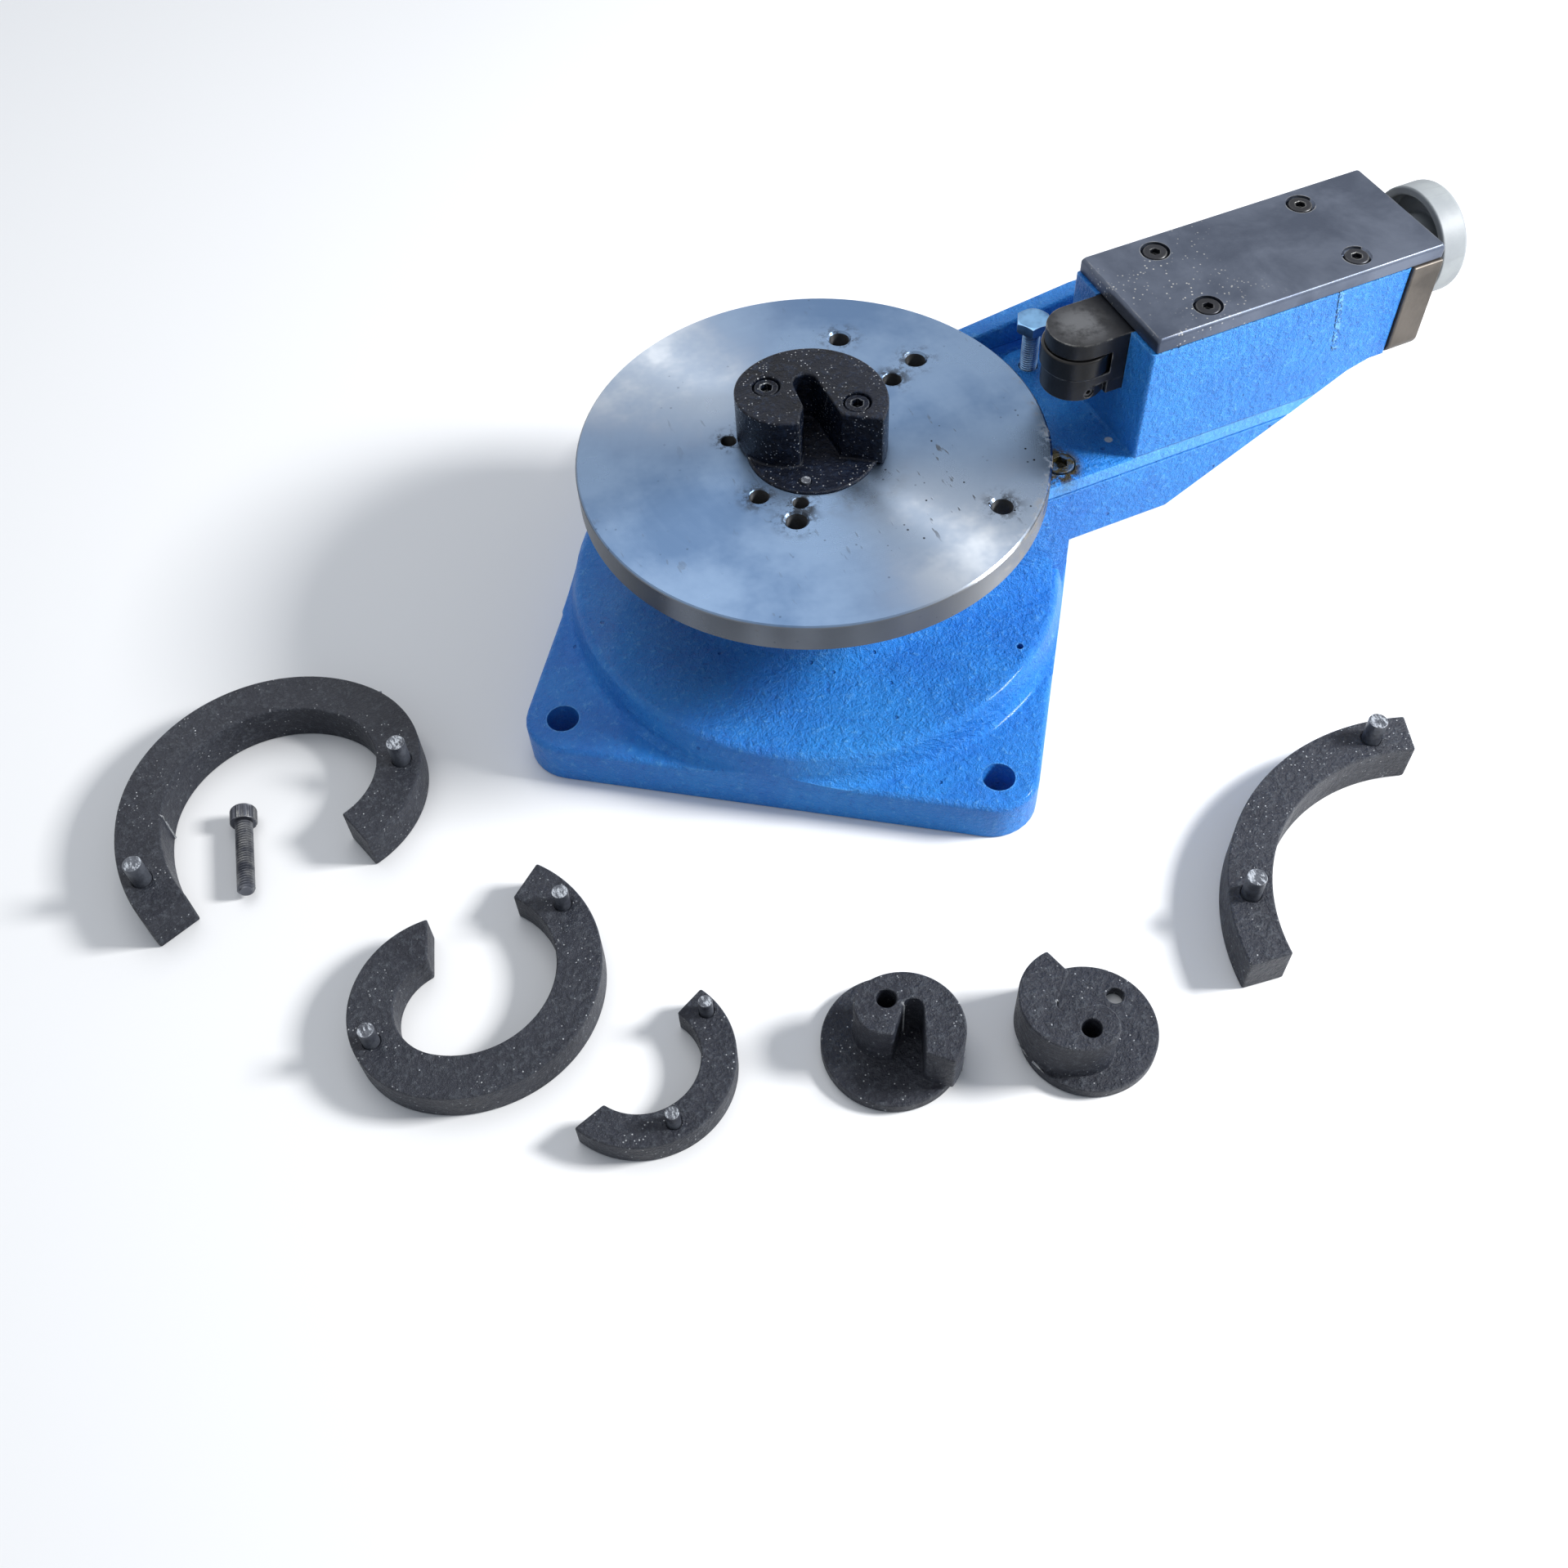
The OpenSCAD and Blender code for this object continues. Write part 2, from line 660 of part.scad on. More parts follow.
module slide_housing() color(paint_blue)
    difference() {
        union() {
            translate([housing_foot_x, -bracket_half, bracket_top])
                cube([bracket_tip_x - housing_foot_x, 2 * bracket_half, housing_foot_t]);
            side_profile([[box_x, bracket_top], [bracket_tip_x, bracket_top],
                [tail_knee_x, tail_knee_z], [tail_level_x, box_tail_under],
                [box_end_x, box_tail_under], [box_end_x, box_top], [box_x, box_top]],
                box_near, box_far);
            side_profile([[housing_foot_x, bracket_top + 1], [bracket_tip_x, bracket_top + 1],
                [bracket_tip_x, lip_high], [lip_full_x, lip_high], [lip_start_x, lip_low],
                [housing_foot_x, lip_low]],
                bracket_half - lip_w, bracket_half);
        }
        difference() {
            translate([housing_foot_x + lip_w, recess_y, housing_foot_top - recess_depth])
                cube([bracket_tip_x - housing_foot_x - 2 * lip_w,
                    bracket_half - lip_w - recess_y, recess_depth + eps]);
            translate([far_bolt_x, far_bolt_y, bracket_top])
                cylinder(r = boss_d / 2, h = housing_foot_t);
            translate([far_bolt_x - boss_d / 2, recess_y - eps, bracket_top])
                cube([boss_d, far_bolt_y - recess_y + eps, housing_foot_t]);
        }
        translate([0, 0, faceplate_under - rim_relief])
            cylinder(r = faceplate_d / 2 + rim_relief, h = faceplate_t + 2 * rim_relief,
                $fn = 96);
        translate([box_x - eps, slide_y - channel_half, channel_floor])
            cube([box_end_x - box_x + 2 * eps, 2 * channel_half, box_top]);
        translate([far_bolt_x, far_bolt_y, bracket_top - eps])
            cylinder(r = m10_r + eps, h = housing_foot_t + 2 * eps);
        translate([near_screw_x, near_screw_y, bracket_top - eps])
            cylinder(r = m10_r + eps, h = housing_foot_t + 2 * eps);
        translate([near_screw_x, near_screw_y, housing_foot_top - front_sink])
            cylinder(r = front_head_d / 2 + 0.8, h = front_sink + eps);
        translate([rear_bolt_x, rear_bolt_y, bracket_top - eps])
            cylinder(r = m10_r + eps, h = housing_foot_t + 2 * eps);
        plate_screw_places() translate([0, 0, plate_counterbore_z - plate_screw_l - 2])
            cylinder(r = m8_r + seat_fit, h = plate_screw_l + 2 * plate_t);
        end_screw_places() translate([0, 0, -end_screw_l - 2])
            cylinder(r = m6_r + seat_fit, h = end_screw_l + end_t);
    }

end_head_h = 6;
end_head_r = 5;

module plate_screw_places()
    for (i = [0, 1], s = [-1, 1])
        translate([plate_x + plate_screw_inset + i * plate_screw_pitch,
            slide_y + s * plate_screw_width / 2, 0]) children();

module end_screw_places()
    for (z = [end_screw_low, end_screw_high], s = [-1, 1])
        along_x(end_x - end_head_h - 0.5, slide_y + s * end_screw_width / 2, z) children();

module housing_front_screw() color(dark_steel)
    translate([near_screw_x, near_screw_y, housing_foot_top - front_sink])
        cap_screw(front_head_d, front_head_h, m10_r, front_screw_l - front_sink, 8);

module housing_rear_washer() color(zinc)
    translate([rear_bolt_x, rear_bolt_y, housing_foot_top - recess_depth])
        tube(10, m10_r + 0.3, washer_t);

module housing_rear_bolt() color(zinc)
    translate([rear_bolt_x, rear_bolt_y, housing_foot_top - recess_depth + washer_t])
        hex_bolt(rear_bolt_l);

module raised_hex_bolt() color(zinc)
    translate([far_bolt_x, far_bolt_y, housing_foot_top + bolt_rise])
        hex_bolt(raised_bolt_l);

module top_plate() color(dark_steel)
    difference() {
        intersection() {
            translate([plate_x, box_near, box_top]) cube([plate_l, box_w, plate_t]);
            side_profile([[plate_x, box_top], [plate_x + plate_l, box_top],
                [plate_x + plate_l, plate_top - plate_edge],
                [plate_x + plate_l - plate_edge, plate_top],
                [plate_x + plate_edge, plate_top], [plate_x, plate_top - plate_edge]],
                box_near, box_far);
            translate([plate_x, 0, 0]) rotate([90, 0, 90])
                linear_extrude(height = plate_l) polygon([[box_near, box_top],
                    [box_far, box_top], [box_far, plate_top - plate_edge],
                    [box_far - plate_edge, plate_top], [box_near + plate_edge, plate_top],
                    [box_near, plate_top - plate_edge]]);
        }
        plate_screw_places() translate([0, 0, box_top - eps])
            cylinder(r = m8_r + 0.4, h = plate_t + 2 * eps);
        plate_screw_places() translate([0, 0, plate_counterbore_z])
            cylinder(r = plate_counterbore_d / 2, h = plate_counterbore_h + eps);
    }

module top_plate_screws() color(black_iron)
    plate_screw_places() translate([0, 0, plate_counterbore_z])
        cap_screw(plate_head_d, plate_head_h, m8_r, plate_screw_l, 5);

module end_outline() {
    half = end_w / 2;
    inner = half - end_corner_r;
    low = end_under - screw_z;
    high = box_top - screw_z;
    translate([-half, low + end_corner_r]) square([end_w, high - low - end_corner_r]);
    translate([-inner, low]) square([2 * inner, end_corner_r]);
    for (s = [-1, 1]) translate([s * inner, low + end_corner_r]) circle(r = end_corner_r);
}

module end_plate() color(dark_steel)
    difference() {
        translate([box_end_x, slide_y, screw_z]) rotate([90, 0, 90])
            linear_extrude(height = end_t) end_outline();
        along_x(box_end_x - eps, slide_y, screw_z)
            cylinder(r = bush_od / 2 + seat_fit, h = end_t + 2 * eps);
        end_screw_places() translate([0, 0, -end_t])
            cylinder(r = m6_r + 0.3, h = end_t + eps);
        end_screw_places() cylinder(r = end_head_r + 0.5, h = end_t);
    }

module end_plate_screws() color(black_iron)
    end_screw_places() cap_screw(2 * end_head_r, end_head_h, m6_r, end_screw_l, 5);

module end_plate_bush() color(bronze)
    along_x(box_end_x, slide_y, screw_z) tube(bush_od / 2, screw_d / 2 + run_fit, end_t);

module inner_thrust_washer() color(bronze)
    along_x(box_end_x - thrust_washer_t, slide_y, screw_z)
        tube(collar_d / 2, screw_d / 2 + slide_gap, thrust_washer_t);

module outer_thrust_washer() color(bronze)
    along_x(end_x, slide_y, screw_z)
        tube(collar_d / 2, screw_d / 2 + slide_gap, thrust_washer_t);

// Radius of the ball circle, and the groove and shoulder radii of a bearing
function ball_circle(bore, od) = (bore + od) / 4;
function race_step(ball) = ball * 0.3;

module groove(bore, od, ball, w, slack)
    translate([0, 0, w / 2]) rotate_extrude()
        translate([ball_circle(bore, od), 0]) circle(r = ball / 2 + slack);

module inner_race(bore, od, ball, w)
    difference() {
        tube(ball_circle(bore, od) - race_step(ball), bore / 2 + seat_fit, w);
        groove(bore, od, ball, w, seat_fit);
    }

module outer_race(bore, od, ball, w)
    difference() {
        tube(od / 2, ball_circle(bore, od) + race_step(ball), w);
        groove(bore, od, ball, w, slide_gap);
    }

module ball_ring(bore, od, ball, w)
    for (i = [0:ball_count - 1]) rotate([0, 0, i * 360 / ball_count])
        translate([ball_circle(bore, od), 0, w / 2]) sphere(r = ball / 2);

module upper_bearing_outer_race() color(steel)
    translate([0, 0, upper_under]) outer_race(upper_bore_d, upper_od, upper_ball_d, upper_w);

module upper_bearing_inner_race() color(steel)
    translate([0, 0, upper_under]) inner_race(upper_bore_d, upper_od, upper_ball_d, upper_w);

module upper_bearing_balls() color(steel)
    translate([0, 0, upper_under]) ball_ring(upper_bore_d, upper_od, upper_ball_d, upper_w);

module lower_bearing_outer_race() color(steel)
    translate([0, 0, lower_under]) outer_race(lower_bore_d, lower_od, lower_ball_d, lower_w);

module lower_bearing_inner_race() color(steel)
    translate([0, 0, lower_under]) inner_race(lower_bore_d, lower_od, lower_ball_d, lower_w);

module lower_bearing_balls() color(steel)
    translate([0, 0, lower_under]) ball_ring(lower_bore_d, lower_od, lower_ball_d, lower_w);

module lower_bearing_ring() color(dark_steel)
    translate([0, 0, lower_under - 2.2]) tube(lower_od / 2 + 1.8, lower_od / 2 - 5, 2.2);

module spindle_seal() color(rubber)
    translate([0, 0, upper_top + hub_t]) tube(upper_od / 2, flange_r + slide_gap,
        neck_top - upper_top - hub_t - 1);

module spindle() color(steel)
    difference() {
        union() {
            translate([0, 0, upper_top + hub_t])
                cylinder(r = flange_r, h = faceplate_under - upper_top - hub_t);
            translate([0, 0, faceplate_under - eps]) cylinder(r = spigot_r, h = spigot_h + eps);
            translate([0, 0, upper_top]) cylinder(r = hub_r, h = hub_t + eps);
            translate([0, 0, upper_under]) cylinder(r = upper_bore_d / 2, h = upper_w + eps);
            translate([0, 0, lower_top]) cylinder(r = shaft_d / 2, h = upper_under - lower_top);
            translate([0, 0, lower_under]) cylinder(r = lower_bore_d / 2, h = lower_w + eps);
            translate([0, 0, spindle_end])
                cylinder(r = spindle_thread_d / 2, h = lower_under - spindle_end + eps);
        }
        translate([0, 0, spindle_end - eps])
            cylinder(r = drive_bore_d / 2, h = drive_bore_l + eps);
        translate([0, -keyway_w / 2, spindle_end - eps])
            cube([drive_bore_d / 2 + keyway_depth, keyway_w, drive_bore_l + eps]);
        faceplate_screw_places() translate([0, 0, faceplate_under - 12])
            cylinder(r = m8_r + seat_fit, h = 12 + eps);
        former_screw_places() translate([0, 0, upper_top + 2 * hub_t])
            cylinder(r = m8_r + seat_fit, h = faceplate_t);
    }

module spindle_lock_washer() color(dark_steel)
    translate([0, 0, lower_under - washer_t])
        tube(spindle_nut_d / 2 - 2, spindle_thread_d / 2 + seat_fit, washer_t);

module spindle_nut() color(dark_steel)
    translate([0, 0, lower_under - washer_t - spindle_nut_t]) difference() {
        tube(spindle_nut_d / 2, spindle_thread_d / 2 + seat_fit, spindle_nut_t);
        for (i = [0:3]) rotate([0, 0, 45 + 90 * i])
            translate([spindle_nut_d / 2 - 3, -3, -eps]) cube([6, 6, spindle_nut_t + 2 * eps]);
    }

module faceplate_screw_places()
    for (a = [50, 170, 290]) place(polar(plate_bolt_radius, a)) children();

module former_screw_places() {
    place(former_screw_1) children();
    place(former_screw_2) children();
}

module tool_hole(r, a, d, edge)
    place(polar(r, a)) {
        translate([0, 0, faceplate_under - eps]) cylinder(r = d / 2, h = faceplate_t + 2 * eps);
        translate([0, 0, faceplate_top - edge])
            cylinder(r1 = d / 2, r2 = d / 2 + edge + eps, h = edge + eps);
    }

module faceplate() color(steel)
    difference() {
        translate([0, 0, faceplate_under]) union() {
            cylinder(r = faceplate_d / 2, h = faceplate_t - faceplate_edge, $fn = 96);
            translate([0, 0, faceplate_t - faceplate_edge])
                cylinder(r1 = faceplate_d / 2, r2 = faceplate_d / 2 - faceplate_edge,
                    h = faceplate_edge, $fn = 96);
        }
        translate([0, 0, recess_floor])
            cylinder(r = former_base_d / 2 + 0.15, h = former_recess + eps);
        translate([0, 0, faceplate_under - eps])
            cylinder(r = spigot_r + seat_fit, h = spigot_h + 2 * eps);
        faceplate_screw_places() translate([0, 0, faceplate_under - eps])
            cylinder(r = m8_r + 0.4, h = faceplate_t);
        faceplate_screw_places() translate([0, 0, recess_floor - 4.2])
            cylinder(r1 = m8_r + 0.1, r2 = 8.3, h = 4.2 + 0.01);
        former_screw_places() translate([0, 0, faceplate_under - eps])
            cylinder(r = m8_r + seat_fit, h = faceplate_t);
        place(former_dowel_at) translate([0, 0, faceplate_under + 2])
            cylinder(r = former_dowel_r + seat_fit, h = faceplate_t);
        tool_hole(hole_ab_radius, hole_a_angle, tool_hole_d, tool_hole_edge);
        tool_hole(hole_ab_radius, hole_b_angle, tool_hole_d, tool_hole_edge);
        tool_hole(hole_c_radius, hole_b_angle, mid_hole_d, small_hole_edge);
        tool_hole(hole_d_radius, hole_d_angle, small_hole_d, small_hole_edge);
        tool_hole(hole_e_radius, hole_e_angle, mid_hole_d, small_hole_edge);
        tool_hole(hole_f_radius, hole_fg_angle, small_hole_d, small_hole_edge);
        tool_hole(hole_g_radius, hole_fg_angle, tool_hole_d, tool_hole_edge);
        tool_hole(hole_h_radius, hole_h_angle, tool_hole_d, tool_hole_edge);
    }

module faceplate_screws() color(dark_steel)
    faceplate_screw_places() translate([0, 0, recess_floor - 4.2]) difference() {
        union() {
            cylinder(r1 = m8_r, r2 = 8, h = 4);
            translate([0, 0, -16]) cylinder(r = m8_r, h = 16 + 0.01);
        }
        translate([0, 0, 4]) hex_socket(5, 3);
    }

// Outline of a former's block: a horn arc, a tangent heel arc and the cut at the slot
module former_outline(c, r, tip, inner, heel, join) {
    tip_angle = atan2(tip[1] - c[1], tip[0] - c[0]);
    turn = (join - tip_angle + 720) % 360;
    intersection() {
        translate(c) circle(r = r, $fn = 96);
        polygon(concat([c, inner, tip], arc_points(c, 2 * r, tip_angle, tip_angle + turn, 6)));
    }
    translate(next_centre(c, r, heel, join)) circle(r = heel, $fn = 96);
}

module centre_former() color(black_iron)
    difference() {
        union() {
            translate([0, 0, recess_floor])
                cylinder(r = former_base_d / 2, h = former_base_t, $fn = 96);
            translate([0, 0, faceplate_top + block_lift])
                linear_extrude(height = former_block_h - block_lift) difference() {
                    former_outline(horn_c, horn_r, horn_tip, horn_inner, heel_r, heel_join);
                    translate(slot_c) circle(r = slot_r);
                    polygon([slot_left, slot_neck, heel_corner, heel_corner + [-6, -40],
                        horn_tip + [30, -40], horn_tip, horn_inner, slot_right]);
                }
        }
        former_screw_places() {
            translate([0, 0, recess_floor - eps])
                cylinder(r = m8_r + 0.4, h = former_block_h + former_base_t + 2);
            translate([0, 0, block_top - former_sink - 8])
                cylinder(r = former_counterbore_d / 2, h = former_sink + 8 + eps);
        }
        place(former_dowel_at) translate([0, 0, recess_floor - eps])
            cylinder(r = former_dowel_r + seat_fit, h = former_base_t + 2 * eps);
    }

module former_screws() color(black_iron)
    former_screw_places() translate([0, 0, block_top - former_sink - 8])
        cap_screw(13, 8, m8_r, former_screw_l, 6);

module former_dowel() color(steel)
    place(former_dowel_at) translate([0, 0, faceplate_under + 2.5])
        cylinder(r = former_dowel_r, h = former_base_top + 1 - faceplate_under - 2.5);

module slide_bar() color(black_iron)
    difference() {
        union() {
            translate([roller_x, slide_y - bar_w / 2, slot_floor - lower_tine_t])
                cube([bar_tail, bar_w, bar_top - slot_floor + lower_tine_t]);
            translate([roller_x + tine_relief, slide_y - bar_w / 2, bar_under])
                cube([bar_tail - tine_relief, bar_w, bar_top - bar_under]);
            translate([roller_x, slide_y, bar_under]) cylinder(r = nose_r, h = bar_top - bar_under);
        }
        translate([roller_x, slide_y, slot_floor])
            cylinder(r = slot_end_r, h = slot_roof - slot_floor);
        translate([roller_x, slide_y, bar_under - eps])
            cylinder(r = roller_pin_d / 2 + seat_fit, h = bar_top - bar_under - 3);
        translate([roller_x, slide_y, bar_under + 4]) rotate([90, 0, 0])
            cylinder(r = m5_r + seat_fit, h = nose_r + eps);
        along_x(screw_start - 4, slide_y, screw_z)
            cylinder(r = screw_clear_d / 2, h = bar_rear - screw_start + 4 + eps);
        along_x(bar_rear - slide_nut_l, slide_y, screw_z)
            cylinder(r = slide_nut_d / 2 + seat_fit, h = slide_nut_l + eps);
        translate([bar_rear - slide_nut_l / 2, slide_y, screw_z])
            cylinder(r = m5_r + seat_fit, h = bar_top);
    }

module slide_nut() color(bronze)
    difference() {
        along_x(bar_rear - slide_nut_l, slide_y, screw_z)
            tube(slide_nut_d / 2, screw_d / 2 + run_fit, slide_nut_l);
        translate([bar_rear - slide_nut_l / 2, slide_y, screw_z + slide_nut_d / 2 - 2])
            cylinder(r = m5_r + seat_fit, h = 3);
    }

module slide_nut_screw() color(dark_steel)
    translate([bar_rear - slide_nut_l / 2, slide_y, bar_top - 0.7]) difference() {
        translate([0, 0, screw_z + slide_nut_d / 2 - 1.8 - bar_top + 0.7])
            cylinder(r = m5_r, h = bar_top - 0.7 - screw_z - slide_nut_d / 2 + 1.8);
        hex_socket(2.5, 2);
    }

module roller_pin() color(steel)
    translate([roller_x, slide_y, bar_under + 0.5])
        cylinder(r = roller_pin_d / 2, h = bar_top - bar_under - 4.2);

module roller_pin_screw() color(dark_steel)
    translate([roller_x, slide_y - roller_pin_d / 2 - seat_fit, bar_under + 4])
        rotate([90, 0, 0]) translate([0, 0, nose_r - roller_pin_d / 2 - 1]) difference() {
            translate([0, 0, 1 + roller_pin_d / 2 - nose_r])
                cylinder(r = m5_r, h = nose_r - roller_pin_d / 2 - 1);
            hex_socket(2.5, 2);
        }

module pressure_roller() color(dark_steel)
    translate([roller_x, slide_y, slot_floor + slide_gap]) {
        h = slot_roof - slot_floor - 2 * slide_gap;
        difference() {
            union() {
                cylinder(r1 = roller_r - roller_edge, r2 = roller_r, h = roller_edge);
                translate([0, 0, roller_edge]) cylinder(r = roller_r, h = h - 2 * roller_edge);
                translate([0, 0, h - roller_edge])
                    cylinder(r1 = roller_r, r2 = roller_r - roller_edge, h = roller_edge);
            }
            translate([0, 0, -eps])
                cylinder(r = roller_bush_d / 2 + seat_fit, h = h + 2 * eps);
        }
    }

module roller_bush() color(bronze)
    translate([roller_x, slide_y, slot_floor + slide_gap])
        tube(roller_bush_d / 2, roller_pin_d / 2 + run_fit,
            slot_roof - slot_floor - 2 * slide_gap);

module feed_screw() color(steel)
    difference() {
        union() {
            along_x(screw_start, slide_y, screw_z)
                cylinder(r = screw_d / 2, h = collar_out_x - screw_start);
            along_x(box_end_x - thrust_washer_t - slide_gap - collar_t, slide_y, screw_z)
                cylinder(r = collar_d / 2, h = collar_t);
            along_x(collar_out_x - eps, slide_y, screw_z)
                cylinder(r = knob_shaft_d / 2, h = shaft_end - collar_out_x + eps);
        }
        along_x(shaft_end - 18, slide_y, screw_z)
            cylinder(r = m6_r + seat_fit, h = 18 + eps);
        translate([collar_out_x + collar_t / 2, slide_y, screw_z - collar_d])
            cylinder(r = 1.5 + seat_fit, h = 2 * collar_d);
    }

module thrust_collar() color(steel)
    difference() {
        along_x(collar_out_x, slide_y, screw_z)
            tube(collar_d / 2, knob_shaft_d / 2 + seat_fit, collar_t);
        translate([collar_out_x + collar_t / 2, slide_y, screw_z - collar_d])
            cylinder(r = 1.5 + seat_fit, h = 2 * collar_d);
    }

module collar_pin() color(dark_steel)
    translate([collar_out_x + collar_t / 2, slide_y, screw_z - collar_d / 2 + 0.3])
        cylinder(r = 1.5, h = collar_d - 0.6);

module knob() color(knob_grey)
    difference() {
        union() {
            along_x(knob_x, slide_y, screw_z) difference() {
                cylinder(r = knob_d / 2, h = knob_w - 2, $fn = 96);
                translate([0, 0, -eps])
                    cylinder(r = knob_d / 2 - knob_wall, h = knob_w - knob_web + eps);
            }
            along_x(knob_end - 2.01, slide_y, screw_z)
                cylinder(r1 = knob_d / 2, r2 = knob_d / 2 - 2, h = 2.01, $fn = 96);
            along_x(collar_out_x + collar_t, slide_y, screw_z)
                cylinder(r = knob_hub_d / 2, h = knob_end - collar_out_x - collar_t - 1);
        }
        along_x(collar_out_x, slide_y, screw_z)
            cylinder(r = knob_shaft_d / 2 + seat_fit, h = knob_w * 3);
    }

module knob_washer() color(zinc)
    along_x(knob_end, slide_y, screw_z) tube(9, m6_r + 0.2, 1.6);

module knob_screw() color(zinc)
    along_x(knob_end + 1.6, slide_y, screw_z) cap_screw(10, 6, m6_r, 16, 5);

// Point on the line through an end face, past the bore for k > 0 and past the rim for k < 0
function end_line(r, w, a, skew, k) =
    let (rim = polar(r, a), bore = polar(r - w, a + skew))
    k > 0 ? [bore + k * (bore - rim)] : [rim + k * (bore - rim)];

// A flat ring sector; each end face may be skewed by its own angle between rim and bore
module arc_band(r, w, t, a0, a1, skew0, skew1)
    linear_extrude(height = t) intersection() {
        difference() {
            circle(r = r, $fn = 96);
            circle(r = r - w, $fn = 96);
        }
        polygon(concat([[0, 0]], end_line(r, w, a0, skew0, 0.4), end_line(r, w, a0, skew0, -0.4),
            arc_points([0, 0], 2 * r, a0 + end_inset, a1 - end_inset, 8),
            end_line(r, w, a1, skew1, -0.4), end_line(r, w, a1, skew1, 0.4)));
    }

module segment_pin(c, r, a, t, d, h, hole)
    place(c + polar(r, a)) translate([0, 0, t - segment_pin_depth])
        cylinder(r = d / 2 + (hole ? seat_fit : 0), h = segment_pin_depth + (hole ? eps : h));

module large_pin_places(hole) {
    segment_pin(large_open_c, large_open_r - large_w / 2 + pin_outward, large_pin_1, large_t,
        segment_pin_d, segment_pin_h, hole);
    segment_pin(large_close_c, large_close_r - large_w / 2 + pin_outward, large_pin_2, large_t,
        segment_pin_d, segment_pin_h, hole);
}

module large_segment() color(black_iron)
    difference() {
        union() {
            place(large_open_c) arc_band(large_open_r, large_w, large_t, large_open_at,
                large_open_end, 0, 0);
            place(large_c) arc_band(large_r, large_w, large_t, large_close_at - 3,
                large_open_at + 3, 0, 0);
            place(large_close_c) arc_band(large_close_r, large_w, large_t, large_close_end,
                large_close_at, 0, 0);
        }
        large_pin_places(true);
    }

module large_segment_pins() color(steel) large_pin_places(false);

module middle_pin_places(hole) {
    segment_pin(middle_c, middle_r - middle_w / 2 + pin_outward, middle_pin_1, middle_t,
        middle_pin_d, middle_pin_h, hole);
    segment_pin(middle_close_c, middle_close_r - middle_w / 2 + pin_outward, middle_pin_2,
        middle_t, middle_pin_d, middle_pin_h, hole);
}

module middle_segment() color(black_iron)
    difference() {
        union() {
            place(middle_c) arc_band(middle_r, middle_w, middle_t, middle_join,
                middle_open_end, 0, 0);
            place(middle_close_c) arc_band(middle_close_r, middle_w, middle_t,
                middle_tip_end, middle_join, middle_tip_skew, 0);
        }
        middle_pin_places(true);
    }

module middle_segment_pins() color(steel) middle_pin_places(false);

module small_pin_places(hole) {
    segment_pin(small_c, small_r - small_w / 2 + pin_outward, small_pin_1, small_t,
        small_pin_d, small_pin_h, hole);
    segment_pin(small_c, small_r - small_w / 2, small_pin_2, small_t,
        small_pin_d, small_pin_h, hole);
}

module small_segment() color(black_iron)
    difference() {
        place(small_c) arc_band(small_r, small_w, small_t, small_start, small_end, 5, 2);
        small_pin_places(true);
    }

module small_segment_pins() color(steel) small_pin_places(false);

module long_pin_places(hole) {
    segment_pin(long_c, long_r - long_w / 2, long_pin_1, long_t,
        segment_pin_d, segment_pin_h, hole);
    segment_pin(long_c, long_r - long_w / 2, long_pin_2, long_t,
        segment_pin_d, segment_pin_h, hole);
}

module long_segment() color(black_iron)
    difference() {
        place(long_c) arc_band(long_r, long_w, long_t, long_start, long_end, 0, 0);
        long_pin_places(true);
    }

module long_segment_pins() color(steel) long_pin_places(false);

module spare_former_a() color(black_iron)
    place(spare_a_at) difference() {
        union() {
            cylinder(r = former_base_d / 2, h = former_base_t, $fn = 96);
            translate([0, 0, former_base_t - 0.01])
                linear_extrude(height = loose_block_h) difference() {
                    former_outline([1, -8.5], spare_a_horn_r, [14.4, -34.8], [4.3, -24.9],
                        spare_a_heel_r, 100);
                    translate([9.6, -1.4]) circle(r = 5);
                    polygon([[6.1, 2.2], [-6.5, -11.5], [-12, -60], [24, -60],
                        [14.4, -34.8], [4.3, -24.9], [14.1, -3.6]]);
                }
        }
        translate([0.3, 8.4, -eps])
            cylinder(r = spare_hole_d / 2, h = loose_block_h + former_base_t + 2 * eps);
    }

module spare_former_b() color(black_iron)
    place(spare_b_at) difference() {
        union() {
            cylinder(r = former_base_d / 2 - 1, h = former_base_t, $fn = 96);
            translate([0, 0, former_base_t - 0.01])
                linear_extrude(height = loose_block_h) difference() {
                    former_outline([-7, 5], spare_b_horn_r, [-7.5, 32.8], [-3.7, 18.6],
                        spare_b_heel_r, -88);
                    translate([-13.2, 4.2]) circle(r = 4.6);
                    polygon([[-16.4, 7.6], [-3.7, 18.6], [-7.5, 32.8], [2, 60], [40, 20],
                        [3.5, -3], [-10.5, 0.6]]);
                }
        }
        translate([-9.2, -11.8, -eps])
            cylinder(r = spare_hole_d / 2, h = loose_block_h + former_base_t + 2 * eps);
        translate([20.5, 9.5, -eps]) cylinder(r = 4.2, h = former_base_t + 2 * eps);
    }

module loose_cap_screw() color(black_iron)
    translate([loose_screw_at[0], loose_screw_at[1], loose_head_d / 2])
        rotate([0, 0, loose_screw_yaw]) rotate([0, -90, 0])
            cap_screw(loose_head_d, loose_head_h, loose_shank_d / 2, loose_shank_l, 8);

